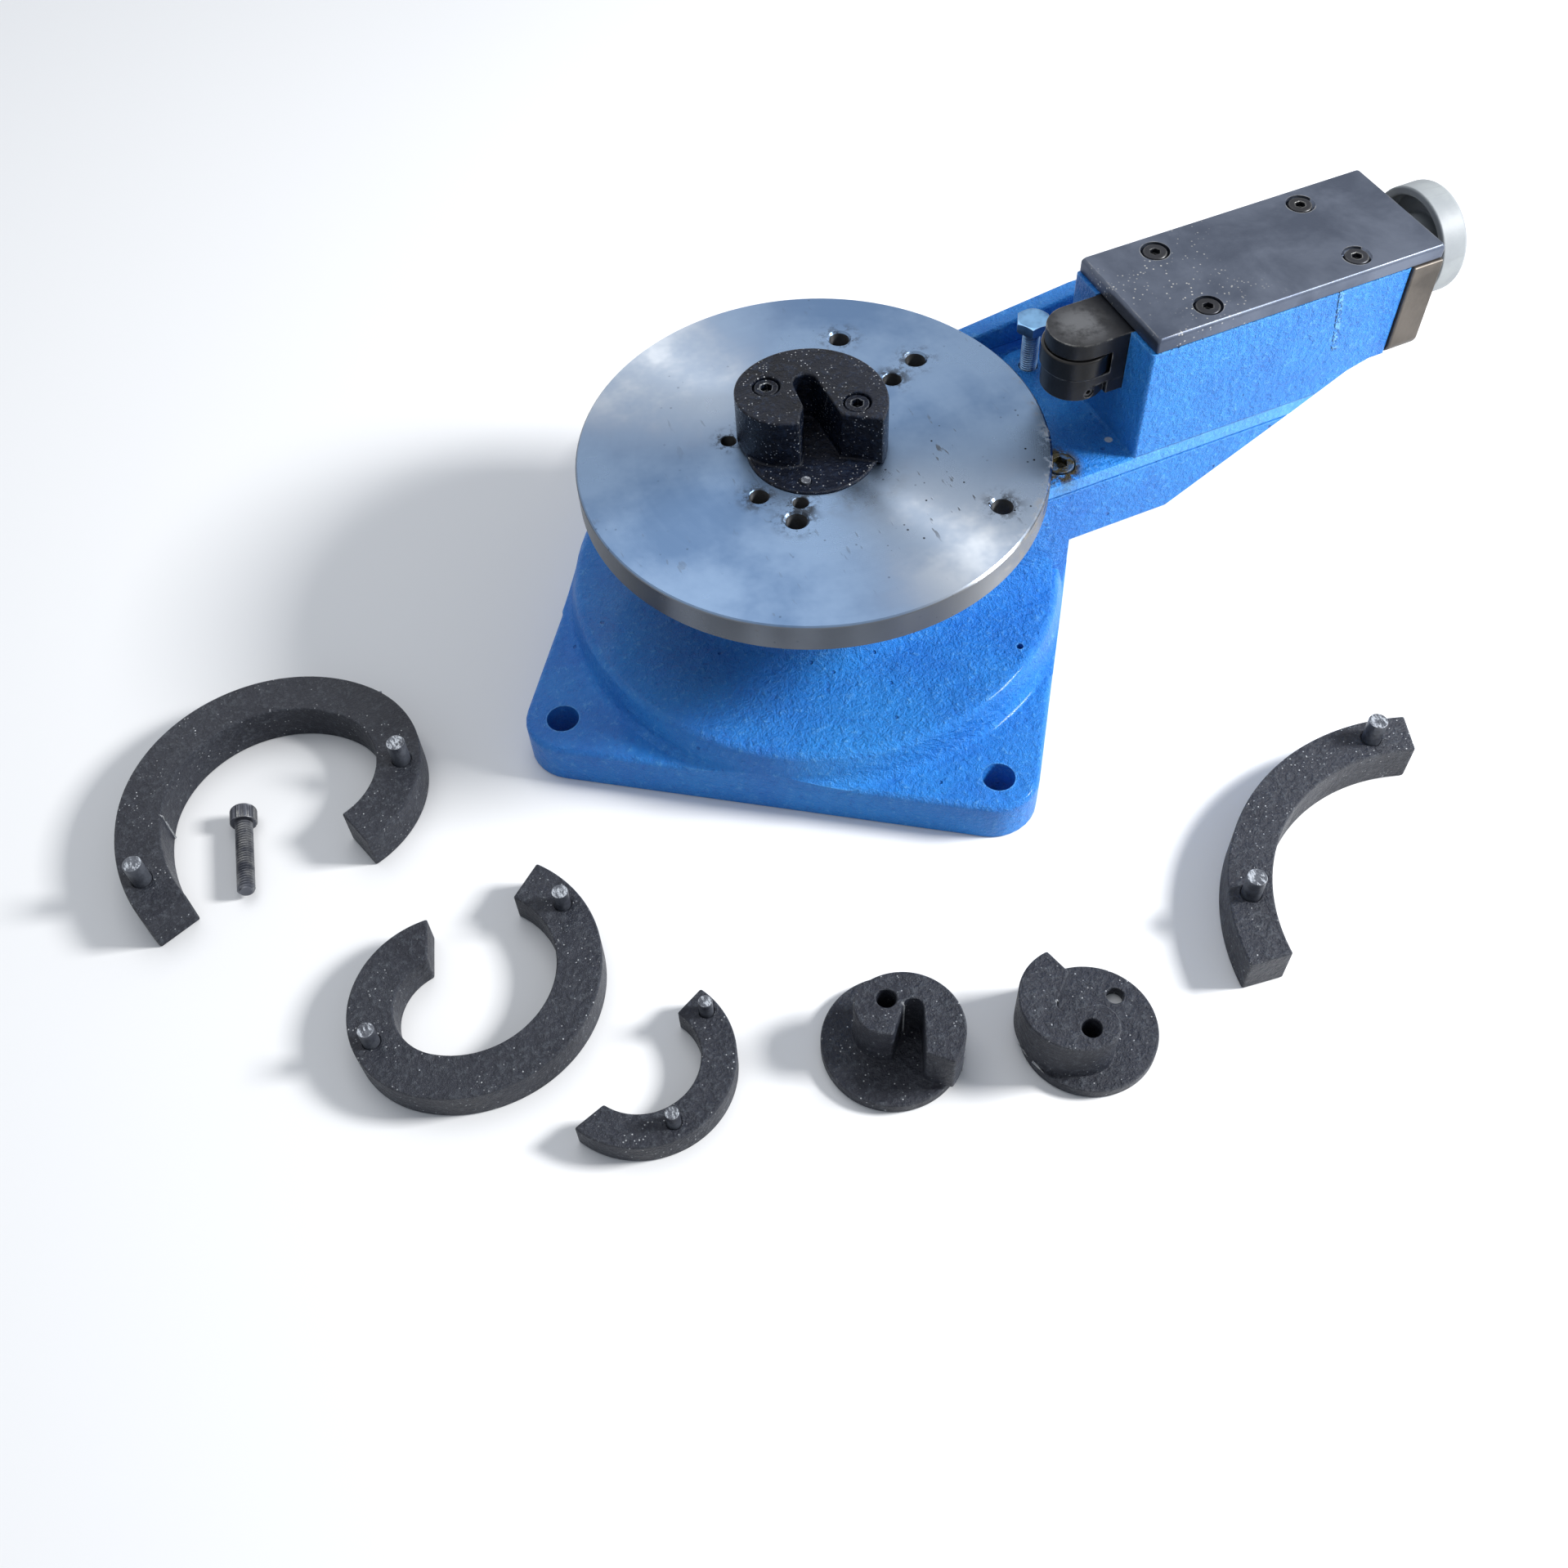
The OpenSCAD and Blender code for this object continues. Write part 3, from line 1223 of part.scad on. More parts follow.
base_casting();
slide_housing();
housing_front_screw();
housing_rear_bolt();
housing_rear_washer();
top_plate();
top_plate_screws();
end_plate();
end_plate_screws();
end_plate_bush();
inner_thrust_washer();
outer_thrust_washer();
upper_bearing_outer_race();
lower_bearing_outer_race();
lower_bearing_ring();
spindle_seal();
raised_hex_bolt();
spindle();
upper_bearing_inner_race();
upper_bearing_balls();
lower_bearing_inner_race();
lower_bearing_balls();
spindle_lock_washer();
spindle_nut();
faceplate();
faceplate_screws();
centre_former();
former_screws();
former_dowel();
slide_bar();
slide_nut();
slide_nut_screw();
roller_pin();
roller_pin_screw();
pressure_roller();
roller_bush();
feed_screw();
thrust_collar();
collar_pin();
knob();
knob_washer();
knob_screw();
large_segment();
large_segment_pins();
middle_segment();
middle_segment_pins();
small_segment();
small_segment_pins();
long_segment();
long_segment_pins();
spare_former_a();
spare_former_b();
loose_cap_screw();
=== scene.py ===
# %% [markdown]
# # A bench scroll bender, dressed for its photograph
# The packed model is the fixed frame: every piece made here stands where the frame says, in metres,
# with +Z up and +X along the arm. We load it first.

# %% Load the frame
import json
import math
import bmesh
import bpy
from mathutils import Matrix, Vector


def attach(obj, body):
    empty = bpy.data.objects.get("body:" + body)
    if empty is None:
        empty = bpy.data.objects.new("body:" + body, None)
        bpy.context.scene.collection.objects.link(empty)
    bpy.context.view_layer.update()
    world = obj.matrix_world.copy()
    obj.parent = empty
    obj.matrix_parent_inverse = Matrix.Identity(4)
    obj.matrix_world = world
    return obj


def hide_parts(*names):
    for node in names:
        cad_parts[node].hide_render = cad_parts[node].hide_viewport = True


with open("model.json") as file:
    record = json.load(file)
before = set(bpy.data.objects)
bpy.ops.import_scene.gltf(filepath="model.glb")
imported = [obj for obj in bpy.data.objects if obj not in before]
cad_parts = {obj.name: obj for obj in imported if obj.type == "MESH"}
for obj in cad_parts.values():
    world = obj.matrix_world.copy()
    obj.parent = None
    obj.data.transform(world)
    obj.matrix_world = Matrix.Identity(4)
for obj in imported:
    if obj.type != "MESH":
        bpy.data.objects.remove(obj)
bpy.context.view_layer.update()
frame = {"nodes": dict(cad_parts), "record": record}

MM = 0.001
nodes = frame["nodes"]
print("nodes in the frame:", len(nodes))

# %% [markdown]
# ## The camera
# The photograph looks down on the bender from a raised hand. The faceplate's ellipse and the corners of
# the foot gave the camera's place and its three directions. A camera looks along its own -Z.

# %% Camera
CAMERA_AT = Vector((-256.2, -574.7, 705.0)) * MM
CAMERA_RIGHT = Vector((0.91075, -0.41168, -0.0321))
CAMERA_UP = Vector((0.3516, 0.7324, 0.5831))
CAMERA_LENS, SENSOR_WIDTH = 36.45, 36.0

camera_data = bpy.data.cameras.new("camera")
camera_data.lens = CAMERA_LENS
camera_data.sensor_width = SENSOR_WIDTH
camera = bpy.data.objects.new("camera", camera_data)
right = CAMERA_RIGHT.normalized()
back = right.cross(CAMERA_UP.normalized()).normalized()
up = back.cross(right)
camera.matrix_world = Matrix.Translation(CAMERA_AT) @ Matrix((right, up, back)).transposed().to_4x4()
bpy.context.scene.collection.objects.link(camera)
bpy.context.scene.camera = camera
print("camera height above the bench in mm:", round(CAMERA_AT.z / MM))

# %% [markdown]
# ## Light
# The real bender stood in the sun. A soft square lamp stands where the sun stood, to the right of the
# bender, and a larger and weaker one shines down from behind, as the sky did. Area lamps are used because
# their size sets how soft a shadow's edge is.

# %% Lights
scene = bpy.context.scene
scene.view_settings.view_transform = "Standard"
LIT_CENTRE = Vector((0.05, -0.05, 0.08))


def soft_light(name, azimuth, elevation, distance, size, watts):
    """a square lamp that faces the bender: angles in degrees, from +X and from the bench, and metres"""
    a, e = math.radians(azimuth), math.radians(elevation)
    toward = Vector((math.cos(e) * math.cos(a), math.cos(e) * math.sin(a), math.sin(e)))
    data = bpy.data.lights.new(name, "AREA")
    data.size = size
    data.energy = watts
    lamp = bpy.data.objects.new(name, data)
    lamp.location = LIT_CENTRE + toward * distance
    lamp.rotation_euler = toward.to_track_quat("Z", "Y").to_euler()
    scene.collection.objects.link(lamp)


soft_light("key_light", azimuth=-27.4, elevation=34, distance=1.7, size=0.4, watts=50)
soft_light("sky_light", azimuth=100, elevation=68, distance=2.2, size=1.8, watts=16)

# %% [markdown]
# ## Writing a material as sums
# A shader is a net of nodes, which is slow to read. `Wire` wraps one socket, so that `a * b + 1` adds the
# Math nodes by itself. The reflected forms, such as `__rsub__`, let a plain number stand first.

# %% Wires


class Wire:
    """one output socket of a material, on which plain arithmetic works"""

    def __init__(self, finish, socket):
        self.finish = finish
        self.socket = socket

    def math(self, operation, *others, clamp=False):
        """a Math node that takes this wire first"""
        return self.finish.node("ShaderNodeMath", {"operation": operation, "use_clamp": clamp},
                                dict(enumerate((self,) + others)))

    def __add__(self, other):
        return self.math("ADD", other)

    def __radd__(self, other):
        return self.math("ADD", other)

    def __sub__(self, other):
        return self.math("SUBTRACT", other)

    def __rsub__(self, other):
        return self.finish.node("ShaderNodeMath", {"operation": "SUBTRACT"}, {0: other, 1: self})

    def __mul__(self, other):
        return self.math("MULTIPLY", other)

    def __rmul__(self, other):
        return self.math("MULTIPLY", other)

    def __pow__(self, other):
        return self.math("POWER", other)

    def clip(self):
        """the value held between 0 and 1"""
        return self.math("ADD", 0.0, clamp=True)

    def sibling(self, name):
        """another output of the same node"""
        return Wire(self.finish, self.socket.node.outputs[name])

    def over(self, start, end):
        """0 at start, 1 at end, and a smooth step between them, whichever of the two is larger"""
        return self.finish.node("ShaderNodeMapRange", {"interpolation_type": "SMOOTHSTEP"},
                                {"Value": self, "From Min": start, "From Max": end})


print("a wire can:", [name for name in vars(Wire) if not name.startswith("_")])

# %% [markdown]
# A finish is one material. It starts from the Principled shader and from Object coordinates, which go with
# the mesh and have no seams, and it offers the patterns that this bender's surfaces share. `node` makes
# any node from its settings and inputs. A Mix node has its sockets several times over, once for each kind
# of data, so they go by their numbers.

# %% Finishes
MIX_FACTOR, MIX_FIRST, MIX_SECOND, MIX_RESULT = 0, 6, 7, 2


class Finish:
    """a material with a Principled shader, and the patterns that this bender's surfaces share"""

    def __init__(self, name, **constants):
        self.material = bpy.data.materials.new(name)
        self.material.use_nodes = True
        self.tree = self.material.node_tree
        self.shader = self.tree.nodes["Principled BSDF"]
        self.place = self.node("ShaderNodeTexCoord", {}, {}, "Object")
        for socket, value in constants.items():
            self.shader.inputs[socket.replace("_", " ")].default_value = value

    def node(self, kind, settings, inputs, output=0):
        """any node: its settings first, then a value or a wire for each input that isn't left alone"""
        made = self.tree.nodes.new(kind)
        for name, value in settings.items():
            setattr(made, name, value)
        for name, value in inputs.items():
            if isinstance(value, Wire):
                self.tree.links.new(value.socket, made.inputs[name])
            else:
                made.inputs[name].default_value = value
        return Wire(self, made.outputs[output])

    def scaled(self, x, y, z, turn=0.0):
        """Object coordinates scaled and then turned about Z, so that a noise on them is drawn out"""
        return self.node("ShaderNodeMapping", {}, {"Vector": self.place, "Scale": (x, y, z),
                                                   "Rotation": (0, 0, math.radians(turn))})

    def noise(self, scale, detail, roughness, vector=None, distortion=0.0):
        """cloudy noise, about scale clouds to the metre"""
        return self.node("ShaderNodeTexNoise", {}, {
            "Vector": vector or self.place, "Scale": scale, "Detail": detail,
            "Roughness": roughness, "Distortion": distortion})

    def blend(self, factor, first, second):
        """first colour where factor is 0 and second where it is 1"""
        return self.node("ShaderNodeMix", {"data_type": "RGBA"},
                         {MIX_FACTOR: factor, MIX_FIRST: first, MIX_SECOND: second}, MIX_RESULT)

    def specks(self, scale, share, size=0.2):
        """small round spots: the share of cells that hold one, and its radius as a part of a cell"""
        near = self.node("ShaderNodeTexVoronoi", {}, {"Vector": self.place, "Scale": scale})
        lot = self.node("ShaderNodeSeparateColor", {}, {"Color": near.sibling("Color")}, "Red")
        return near.over(size * 1.3, size * 0.7) * lot.over(1 - share, 1.01 - share)

    def near(self, at, inside, outside):
        """1 within inside millimetres of a point in millimetres, and 0 beyond outside"""
        offset = self.node("ShaderNodeVectorMath", {"operation": "DISTANCE"},
                           {0: self.place, 1: Vector(at) * MM}, "Value")
        return offset.over(outside * MM, inside * MM)

    def part(self, axis):
        """one of the Object coordinates, in metres"""
        return self.node("ShaderNodeSeparateXYZ", {}, {0: self.place}, axis)

    def edges(self, width, low=0.02, high=0.35):
        """1 along sharp edges, fading out over a width in metres"""
        rounded = self.node("ShaderNodeBevel", {"samples": 4}, {"Radius": width})
        plain = self.node("ShaderNodeNewGeometry", {}, {}, "Normal")
        match = self.node("ShaderNodeVectorMath", {"operation": "DOT_PRODUCT"},
                          {0: rounded, 1: plain}, "Value")
        return (1 - match).over(low, high)

    def facing_up(self, low=0.6, high=0.95, normal_kind="Normal"):
        """1 on faces that look up: low and high are the normal's height where it starts and is full"""
        normal = self.node("ShaderNodeNewGeometry", {}, {}, normal_kind)
        height = self.node("ShaderNodeSeparateXYZ", {}, {0: normal}, "Z")
        return height.over(low, high)

    def bump(self, height, distance, strength):
        """relief from a height, where a height of 1 stands distance metres proud"""
        return self.node("ShaderNodeBump", {},
                         {"Height": height, "Distance": distance, "Strength": strength})

    def feed(self, **wires):
        """links the finished wires to the shader, and hands back the material"""
        for socket, wire in wires.items():
            self.tree.links.new(wire.socket, self.shader.inputs[socket.replace("_", " ")])
        return self.material


print("a finish can:", [name for name in vars(Finish) if not name.startswith("_")])

# %% [markdown]
# Colours are written below as they look on a screen, because that is how an eye judges them. A shader
# works with linear values, so each colour is converted once.

# %% Colours


def colour(red, green, blue):
    """a colour given as it looks on a screen, 0 to 255, in the linear values that a shader wants"""
    def linear(value):
        value /= 255
        return value / 12.92 if value <= 0.04045 else ((value + 0.055) / 1.055) ** 2.4
    return (linear(red), linear(green), linear(blue), 1.0)


print("a screen grey of 128 is", round(colour(128, 128, 128)[0], 3), "in a shader")

# %% [markdown]
# ## Sky and ground
# The photograph has a white ground. Here the sky is white only to the camera and to mirrored rays, and the
# rays that light the bender meet a weaker, bluer sky, so that the paint isn't washed out.

# %% Sky
SKY_TINT, SKY_STRENGTH = (0.80, 0.88, 1.0, 1), 0.40
world = bpy.data.worlds.new("pale_sky")
world.use_nodes = True
sky_tree = world.node_tree
sky_seen = sky_tree.nodes.new("ShaderNodeBackground")
sky_seen.inputs["Color"].default_value = (1, 1, 1, 1)
sky_seen.inputs["Strength"].default_value = 1.0
sky_lights = sky_tree.nodes["Background"]
sky_lights.inputs["Color"].default_value = SKY_TINT
sky_lights.inputs["Strength"].default_value = SKY_STRENGTH
sky_path = sky_tree.nodes.new("ShaderNodeLightPath")
sky_seen_by = sky_tree.nodes.new("ShaderNodeMath")
sky_seen_by.operation = "MAXIMUM"
sky_mix = sky_tree.nodes.new("ShaderNodeMixShader")
sky_tree.links.new(sky_path.outputs["Is Camera Ray"], sky_seen_by.inputs[0])
sky_tree.links.new(sky_path.outputs["Is Glossy Ray"], sky_seen_by.inputs[1])
sky_tree.links.new(sky_seen_by.outputs[0], sky_mix.inputs["Fac"])
sky_tree.links.new(sky_lights.outputs[0], sky_mix.inputs[1])
sky_tree.links.new(sky_seen.outputs[0], sky_mix.inputs[2])
sky_tree.links.new(sky_mix.outputs[0], sky_tree.nodes["World Output"].inputs["Surface"])
scene.world = world
print("sky nodes:", len(sky_tree.nodes))

# %% [markdown]
# The floor is a pale matt plane that takes the bender's shadow. It reaches far past the picture, and it
# isn't part of the bender.

# %% Floor
FLOOR_HALF, FLOOR_GREY = 12.0, 0.86
floor_mesh = bpy.data.meshes.new("floor")
floor_bm = bmesh.new()
bmesh.ops.create_grid(floor_bm, x_segments=1, y_segments=1, size=FLOOR_HALF)
floor_bm.to_mesh(floor_mesh)
floor_bm.free()
floor = bpy.data.objects.new("floor", floor_mesh)
scene.collection.objects.link(floor)
floor_finish = Finish("pale_floor", Roughness=0.95)
floor_finish.shader.inputs["Base Color"].default_value = (FLOOR_GREY, FLOOR_GREY, FLOOR_GREY, 1)
floor.data.materials.append(floor_finish.material)
print("floor side in metres:", FLOOR_HALF * 2)

# %% [markdown]
# ## Blue paint on cast iron
# Two castings carry a thick bright blue coat. Under it the sand grain of the casting shows as fine
# pimples, and the coat is a little glossy. Thin places at the edges and the ground side of the housing's
# foot plate are paler. Grease from the near screw has run brown over the foot plate, a chip beside it
# shows the primer, and a row of paint drops runs down the side of the box. A picture could be wrapped
# round the castings, but noise on Object coordinates has no seams and stays sharp close up.

# %% Blue paint
PAINT = colour(42, 138, 224)
PAINT_DEEP = colour(18, 98, 196)
PAINT_PALE = colour(120, 192, 244)
GREASE = colour(52, 46, 22)
PRIMER = colour(214, 222, 226)
LEDGE_LOW, LEDGE_TOP, BOX_SIDE_Y = 100.0, 110.0, -62.4
GREASE_AT, CHIP_AT = (119, -49, LEDGE_TOP), (155.7, -44, LEDGE_TOP)
DROPS_TOP, DROPS_LOW = Vector((273.8, 176.0)) * MM, Vector((280.0, 138.0)) * MM

paint = Finish("blue_paint", Specular_IOR_Level=0.28, Coat_Weight=0.10, Coat_Roughness=0.12)
pimples = paint.noise(260, 4.0, 0.8)
swell = paint.noise(75, 3.0, 0.6)
pits = paint.specks(120, 0.10, 0.12)
tone = paint.noise(14, 4.0, 0.6).over(0.35, 0.7)
paint_colour = paint.blend(tone * 0.55, PAINT, PAINT_DEEP)
# Painted highlight and shade: the pimples' tops are painted paler, and their hollows and the pits darker.
paint_colour = paint.blend(pimples.over(0.55, 0.68) * 0.35, paint_colour, PAINT_PALE)
paint_colour = paint.blend(pimples.over(0.46, 0.34) * 0.45, paint_colour, PAINT_DEEP)
paint_colour = paint.blend(pits * 0.7, paint_colour, PAINT_DEEP)
paint_colour = paint.blend(paint.edges(0.0022, 0.01, 0.3) * 0.45, paint_colour, PAINT_PALE)
smear = paint.near(GREASE_AT, 11, 18) * paint.noise(160, 4.0, 0.7).over(0.34, 0.50)
paint_colour = paint.blend(smear, paint_colour, GREASE)
paint_colour = paint.blend(paint.near(CHIP_AT, 1.8, 2.6), paint_colour, PRIMER)
run = (DROPS_LOW.x - DROPS_TOP.x) / (DROPS_TOP.y - DROPS_LOW.y)
off_line = (paint.part("X") + (paint.part("Z") - DROPS_TOP.y) * run - DROPS_TOP.x).math("ABSOLUTE")
drops = (off_line.over(0.0022, 0.0010)
         * paint.part("Y").over((BOX_SIDE_Y + 1.4) * MM, (BOX_SIDE_Y + 0.4) * MM)
         * paint.part("Z").over(DROPS_LOW.y, DROPS_LOW.y + 0.002)
         * paint.noise(520, 1.0, 0.5).over(0.44, 0.52))
paint_colour = paint.blend(drops * 0.6, paint_colour, PAINT_PALE)
ledge_side = (paint.part("Z").over((LEDGE_LOW - 0.4) * MM, (LEDGE_LOW + 0.4) * MM)
              * paint.part("Z").over((LEDGE_TOP + 0.4) * MM, (LEDGE_TOP - 0.4) * MM)
              * (1 - paint.facing_up(0.3, 0.6)))
paint_colour = paint.blend(ledge_side * 0.3, paint_colour, PAINT_PALE)
paint_bump = paint.bump(pimples * (1.3 - ledge_side * 0.8) + swell * 0.9 - pits * 0.8 + drops * 1.5,
                        0.0024, 1.0)
BLUE_PAINT = paint.feed(Base_Color=paint_colour, Roughness=0.26 + pimples * 0.24, Normal=paint_bump)
print("paint nodes:", len(paint.tree.nodes))

# %% [markdown]
# ## Machined steel of the faceplate
# The faceplate was turned on a lathe and has been used since. Its turning rings spread a highlight into
# two fans. A constant Anisotropic value gives them their shape, because the shader's own tangent runs
# round the Z axis, and the colour is painted whiter in the same two fans, as a painted highlight. Cloudy
# worn patches, fine dark nicks and black oil round the holes come next, and brown stains stay at the right
# of the rim. The holes' places come from the record's mounts.

# %% Machined steel
STEEL = colour(112, 134, 162)
STEEL_DULL = colour(84, 108, 140)
PAINTED_GLARE_WHITE = colour(214, 219, 224)
STEEL_SHADE = colour(74, 78, 82)
RIM_BROWN = colour(92, 90, 86)
RUST = colour(126, 110, 78)
SOOT_AND_HOLE_SHADE = colour(24, 24, 24)
FILM = colour(84, 78, 62)
FACE_R, FACE_TOP, PAINTED_GLARE_AZIMUTH = 125.0, 131.0, 118.0
NICKS_AT, FILM_AT = (70, -70, FACE_TOP), (8, -30, FACE_TOP)

steel = Finish("machined_steel", Specular_IOR_Level=0.5, Anisotropic=0.9, Anisotropic_Rotation=0.25)
across = steel.node("ShaderNodeVectorMath", {"operation": "MULTIPLY"}, {0: steel.place, 1: (1, 1, 0)})
radius = steel.node("ShaderNodeVectorMath", {"operation": "LENGTH"}, {0: across}, "Value")
rings = (radius * 5200).math("SINE") * 0.5 + 0.5
wide_rings = steel.noise(1.0, 3.0, 0.6, vector=steel.node(
    "ShaderNodeCombineXYZ", {}, {"X": radius * 260, "Y": 0.3, "Z": 0.7}))
clouds = steel.noise(11, 5.0, 0.6)
fine = steel.noise(300, 4.0, 0.7)
nick_places = steel.scaled(300, 80, 300, turn=-34)
nicks = steel.noise(1.0, 2.0, 0.5, vector=nick_places).over(0.66, 0.72)
nick_zone = steel.noise(16, 2.0, 0.5).over(0.44, 0.58) * (0.35 + steel.near(NICKS_AT, 20, 90))
nick_zone = nick_zone.clip()
steel_colour = steel.blend(clouds.over(0.38, 0.62) * 0.9 + wide_rings * 0.15, STEEL, STEEL_DULL)
round_place = steel.part("Y").math("ARCTAN2", steel.part("X"))
# Painted highlight: the steel is whitened in two fans, where the lamp's glare on the turning rings falls.
painted_glare_fans = ((round_place - math.radians(PAINTED_GLARE_AZIMUTH)).math("COSINE") ** 2.0) ** 5.0
painted_glare_fans = painted_glare_fans * radius.over(0.02, 0.07) * (0.35 + clouds.over(0.42, 0.62) * 0.65)
steel_colour = steel.blend(painted_glare_fans * 0.8, steel_colour, PAINTED_GLARE_WHITE)
steel_colour = steel.blend(nicks * nick_zone * 0.8, steel_colour, STEEL_SHADE)
oil_rings = []
for mount in frame["record"]["mounts"]:
    if mount["name"].startswith("tool_hole"):
        hole_at = Vector((mount["pos_m"][0], mount["pos_m"][1], FACE_TOP * MM)) / MM
        oil_rings.append(steel.near(hole_at, 4, mount["dims"]["r_mm"] * 2.6 + 1.5))
oil = (sum(oil_rings) * steel.noise(150, 5.0, 0.75).over(0.44, 0.60)).clip()
steel_colour = steel.blend(oil * 0.85, steel_colour, SOOT_AND_HOLE_SHADE)
grease_film = steel.near(FILM_AT, 14, 34) * steel.noise(60, 4.0, 0.7).over(0.42, 0.66)
steel_colour = steel.blend(grease_film * 0.4, steel_colour, FILM)
rim = FACE_R * MM
side = radius.over(rim - 0.0008, rim - 0.0002)
steel_colour = steel.blend(side * 0.75, steel_colour, RIM_BROWN)
# Painted shade: the holes' walls are painted near black, standing in for the shade inside the holes.
hole_wall_shade = 1 - steel.facing_up(0.2, 0.6, "True Normal")
hole_wall_shade = hole_wall_shade * radius.over(rim - 0.0020, rim - 0.0035)
steel_colour = steel.blend(hole_wall_shade * 0.95, steel_colour, SOOT_AND_HOLE_SHADE)
right_rim = (radius.over(rim - 0.0080, rim - 0.0005) * steel.part("X").over(0.03, 0.10)
             * steel.part("Y").over(0.03, -0.02))
stain = right_rim * steel.noise(130, 5.0, 0.75).over(0.48, 0.62)
steel_colour = steel.blend(stain * 0.5, steel_colour, RUST)
steel_colour = steel.blend(steel.specks(220, 0.25, 0.14) * nick_zone, steel_colour, SOOT_AND_HOLE_SHADE)
steel_rough = 0.22 + clouds * 0.14 + stain * 0.3 + oil * 0.2 + hole_wall_shade * 0.4
steel_bump = steel.bump(rings * 0.15 + wide_rings * 0.5 + fine * 0.4 - nicks * nick_zone, 0.00008, 0.5)
MACHINED_STEEL = steel.feed(Base_Color=steel_colour, Roughness=steel_rough,
                            Metallic=1.0 - (stain * 0.6 + oil * 0.4 + hole_wall_shade).clip(), Normal=steel_bump)
print("faceplate nodes:", len(steel.tree.nodes), " oil rings:", len(oil_rings))

# %% [markdown]
# ## Black cast iron of the formers and segments
# These are sand castings with a black skin. The grain is coarse, bare metal shines through as
# white specks, and the corners are rubbed bright. The centre former is wet with oil, so the same
# recipe takes a darker colour, a lower roughness and more specks.

# %% Black iron
IRON_BRIGHT = colour(186, 190, 194)


def black_iron(name, base, dark, lit_grain, shine, gloss, speck_share, grain_scale, grain_height):
    """black cast skin: shine is its specular level, gloss its roughness, speck_share its bare specks,
    grain_scale the grains to the metre and grain_height their relief in millimetres"""
    iron = Finish(name, Specular_IOR_Level=shine)
    grain = iron.noise(grain_scale, 4.0, 0.75)
    patches = iron.noise(22, 4.0, 0.6).over(0.4, 0.68)
    specks = iron.specks(560, speck_share, 0.2) * iron.noise(55, 2.0, 0.5).over(0.38, 0.60)
    worn = iron.edges(0.0010, 0.01, 0.22) * iron.noise(190, 3.0, 0.7).over(0.30, 0.52)
    shade = iron.blend(patches, base, dark)
    # Painted highlight: the grain's raised parts take the lighter lit_grain colour, as if lit.
    shade = iron.blend(grain.over(0.48, 0.66) * 0.7, shade, lit_grain)
    bright = (specks * 0.8 + worn * 0.85).clip()
    shade = iron.blend(bright, shade, IRON_BRIGHT)
    bump = iron.bump(grain + iron.noise(grain_scale * 0.35, 2.0, 0.5) * 0.8, grain_height * MM, 1.0)
    return iron.feed(Base_Color=shade, Roughness=gloss + patches * 0.12, Metallic=bright * 0.8,
                     Normal=bump)


BLACK_IRON = black_iron("black_cast_iron", colour(33, 37, 48), colour(21, 25, 37),
                        colour(66, 71, 79), shine=0.35, gloss=0.40, speck_share=0.25,
                        grain_scale=330, grain_height=2.2)
OILED_IRON = black_iron("oiled_cast_iron", colour(13, 19, 33), colour(6, 9, 17),
                        colour(28, 38, 56), shine=0.14, gloss=0.18, speck_share=0.6,
                        grain_scale=300, grain_height=1.4)
print("iron finishes:", BLACK_IRON.name, OILED_IRON.name)

# %% [markdown]
# ## Gunmetal of the top plate, fork and end plate
# Hot-rolled bar keeps a blue-black scale. It is half glossy and its edges are rubbed to bare metal. The
# top plate is scattered with bright grinding dust on its front half, so that one takes a zone along X.
# A light patch is painted on the top of the slide's nose, where the lamp lights it: a painted highlight.
# Blackened screws and the greased roller are the same steel with other colours, so one recipe serves them
# all.

# %% Gunmetal
PAINTED_SUNLIT_GREY = colour(112, 114, 118)
BARE = colour(204, 204, 200)


def gunmetal(name, base, dark, metallic, gloss, dust=None, painted_sunlit_nose=None):
    """dark steel, gloss being its roughness: dust is the stretch in metres along X where bright specks
    fade out, and painted_sunlit_nose the middle in millimetres of a painted highlight on the top faces"""
    scale = Finish(name)
    clouds = scale.noise(20, 5.0, 0.6, distortion=0.3)
    fine = scale.noise(380, 3.0, 0.6)
    worn = scale.edges(0.0014, 0.01, 0.22) * scale.noise(110, 3.0, 0.6).over(0.36, 0.62)
    shade = scale.blend(clouds.over(0.35, 0.7), base, dark)
    bright = worn * 0.6
    if dust:
        fall = scale.noise(45, 3.0, 0.6).over(0.42, 0.60) * scale.part("X").over(dust[1], dust[0])
        bright = (bright + scale.specks(430, 0.6, 0.2) * fall * 0.9).clip()
    if painted_sunlit_nose:
        # Painted highlight: a lighter patch on the top of the slide's nose, where the lamp lights it.
        sunlit_patch = scale.near(painted_sunlit_nose, 4, 21) * scale.noise(70, 4.0, 0.7).over(0.32, 0.6)
        rubbed = sunlit_patch * scale.facing_up()
        shade = scale.blend(rubbed * 0.6, shade, PAINTED_SUNLIT_GREY)
    shade = scale.blend(bright, shade, BARE)
    bump = scale.bump(fine + clouds, 0.00015, 0.5)
    return scale.feed(Base_Color=shade, Metallic=metallic + bright * (1 - metallic),
                      Roughness=gloss + clouds * 0.15 - bright * 0.1, Normal=bump)


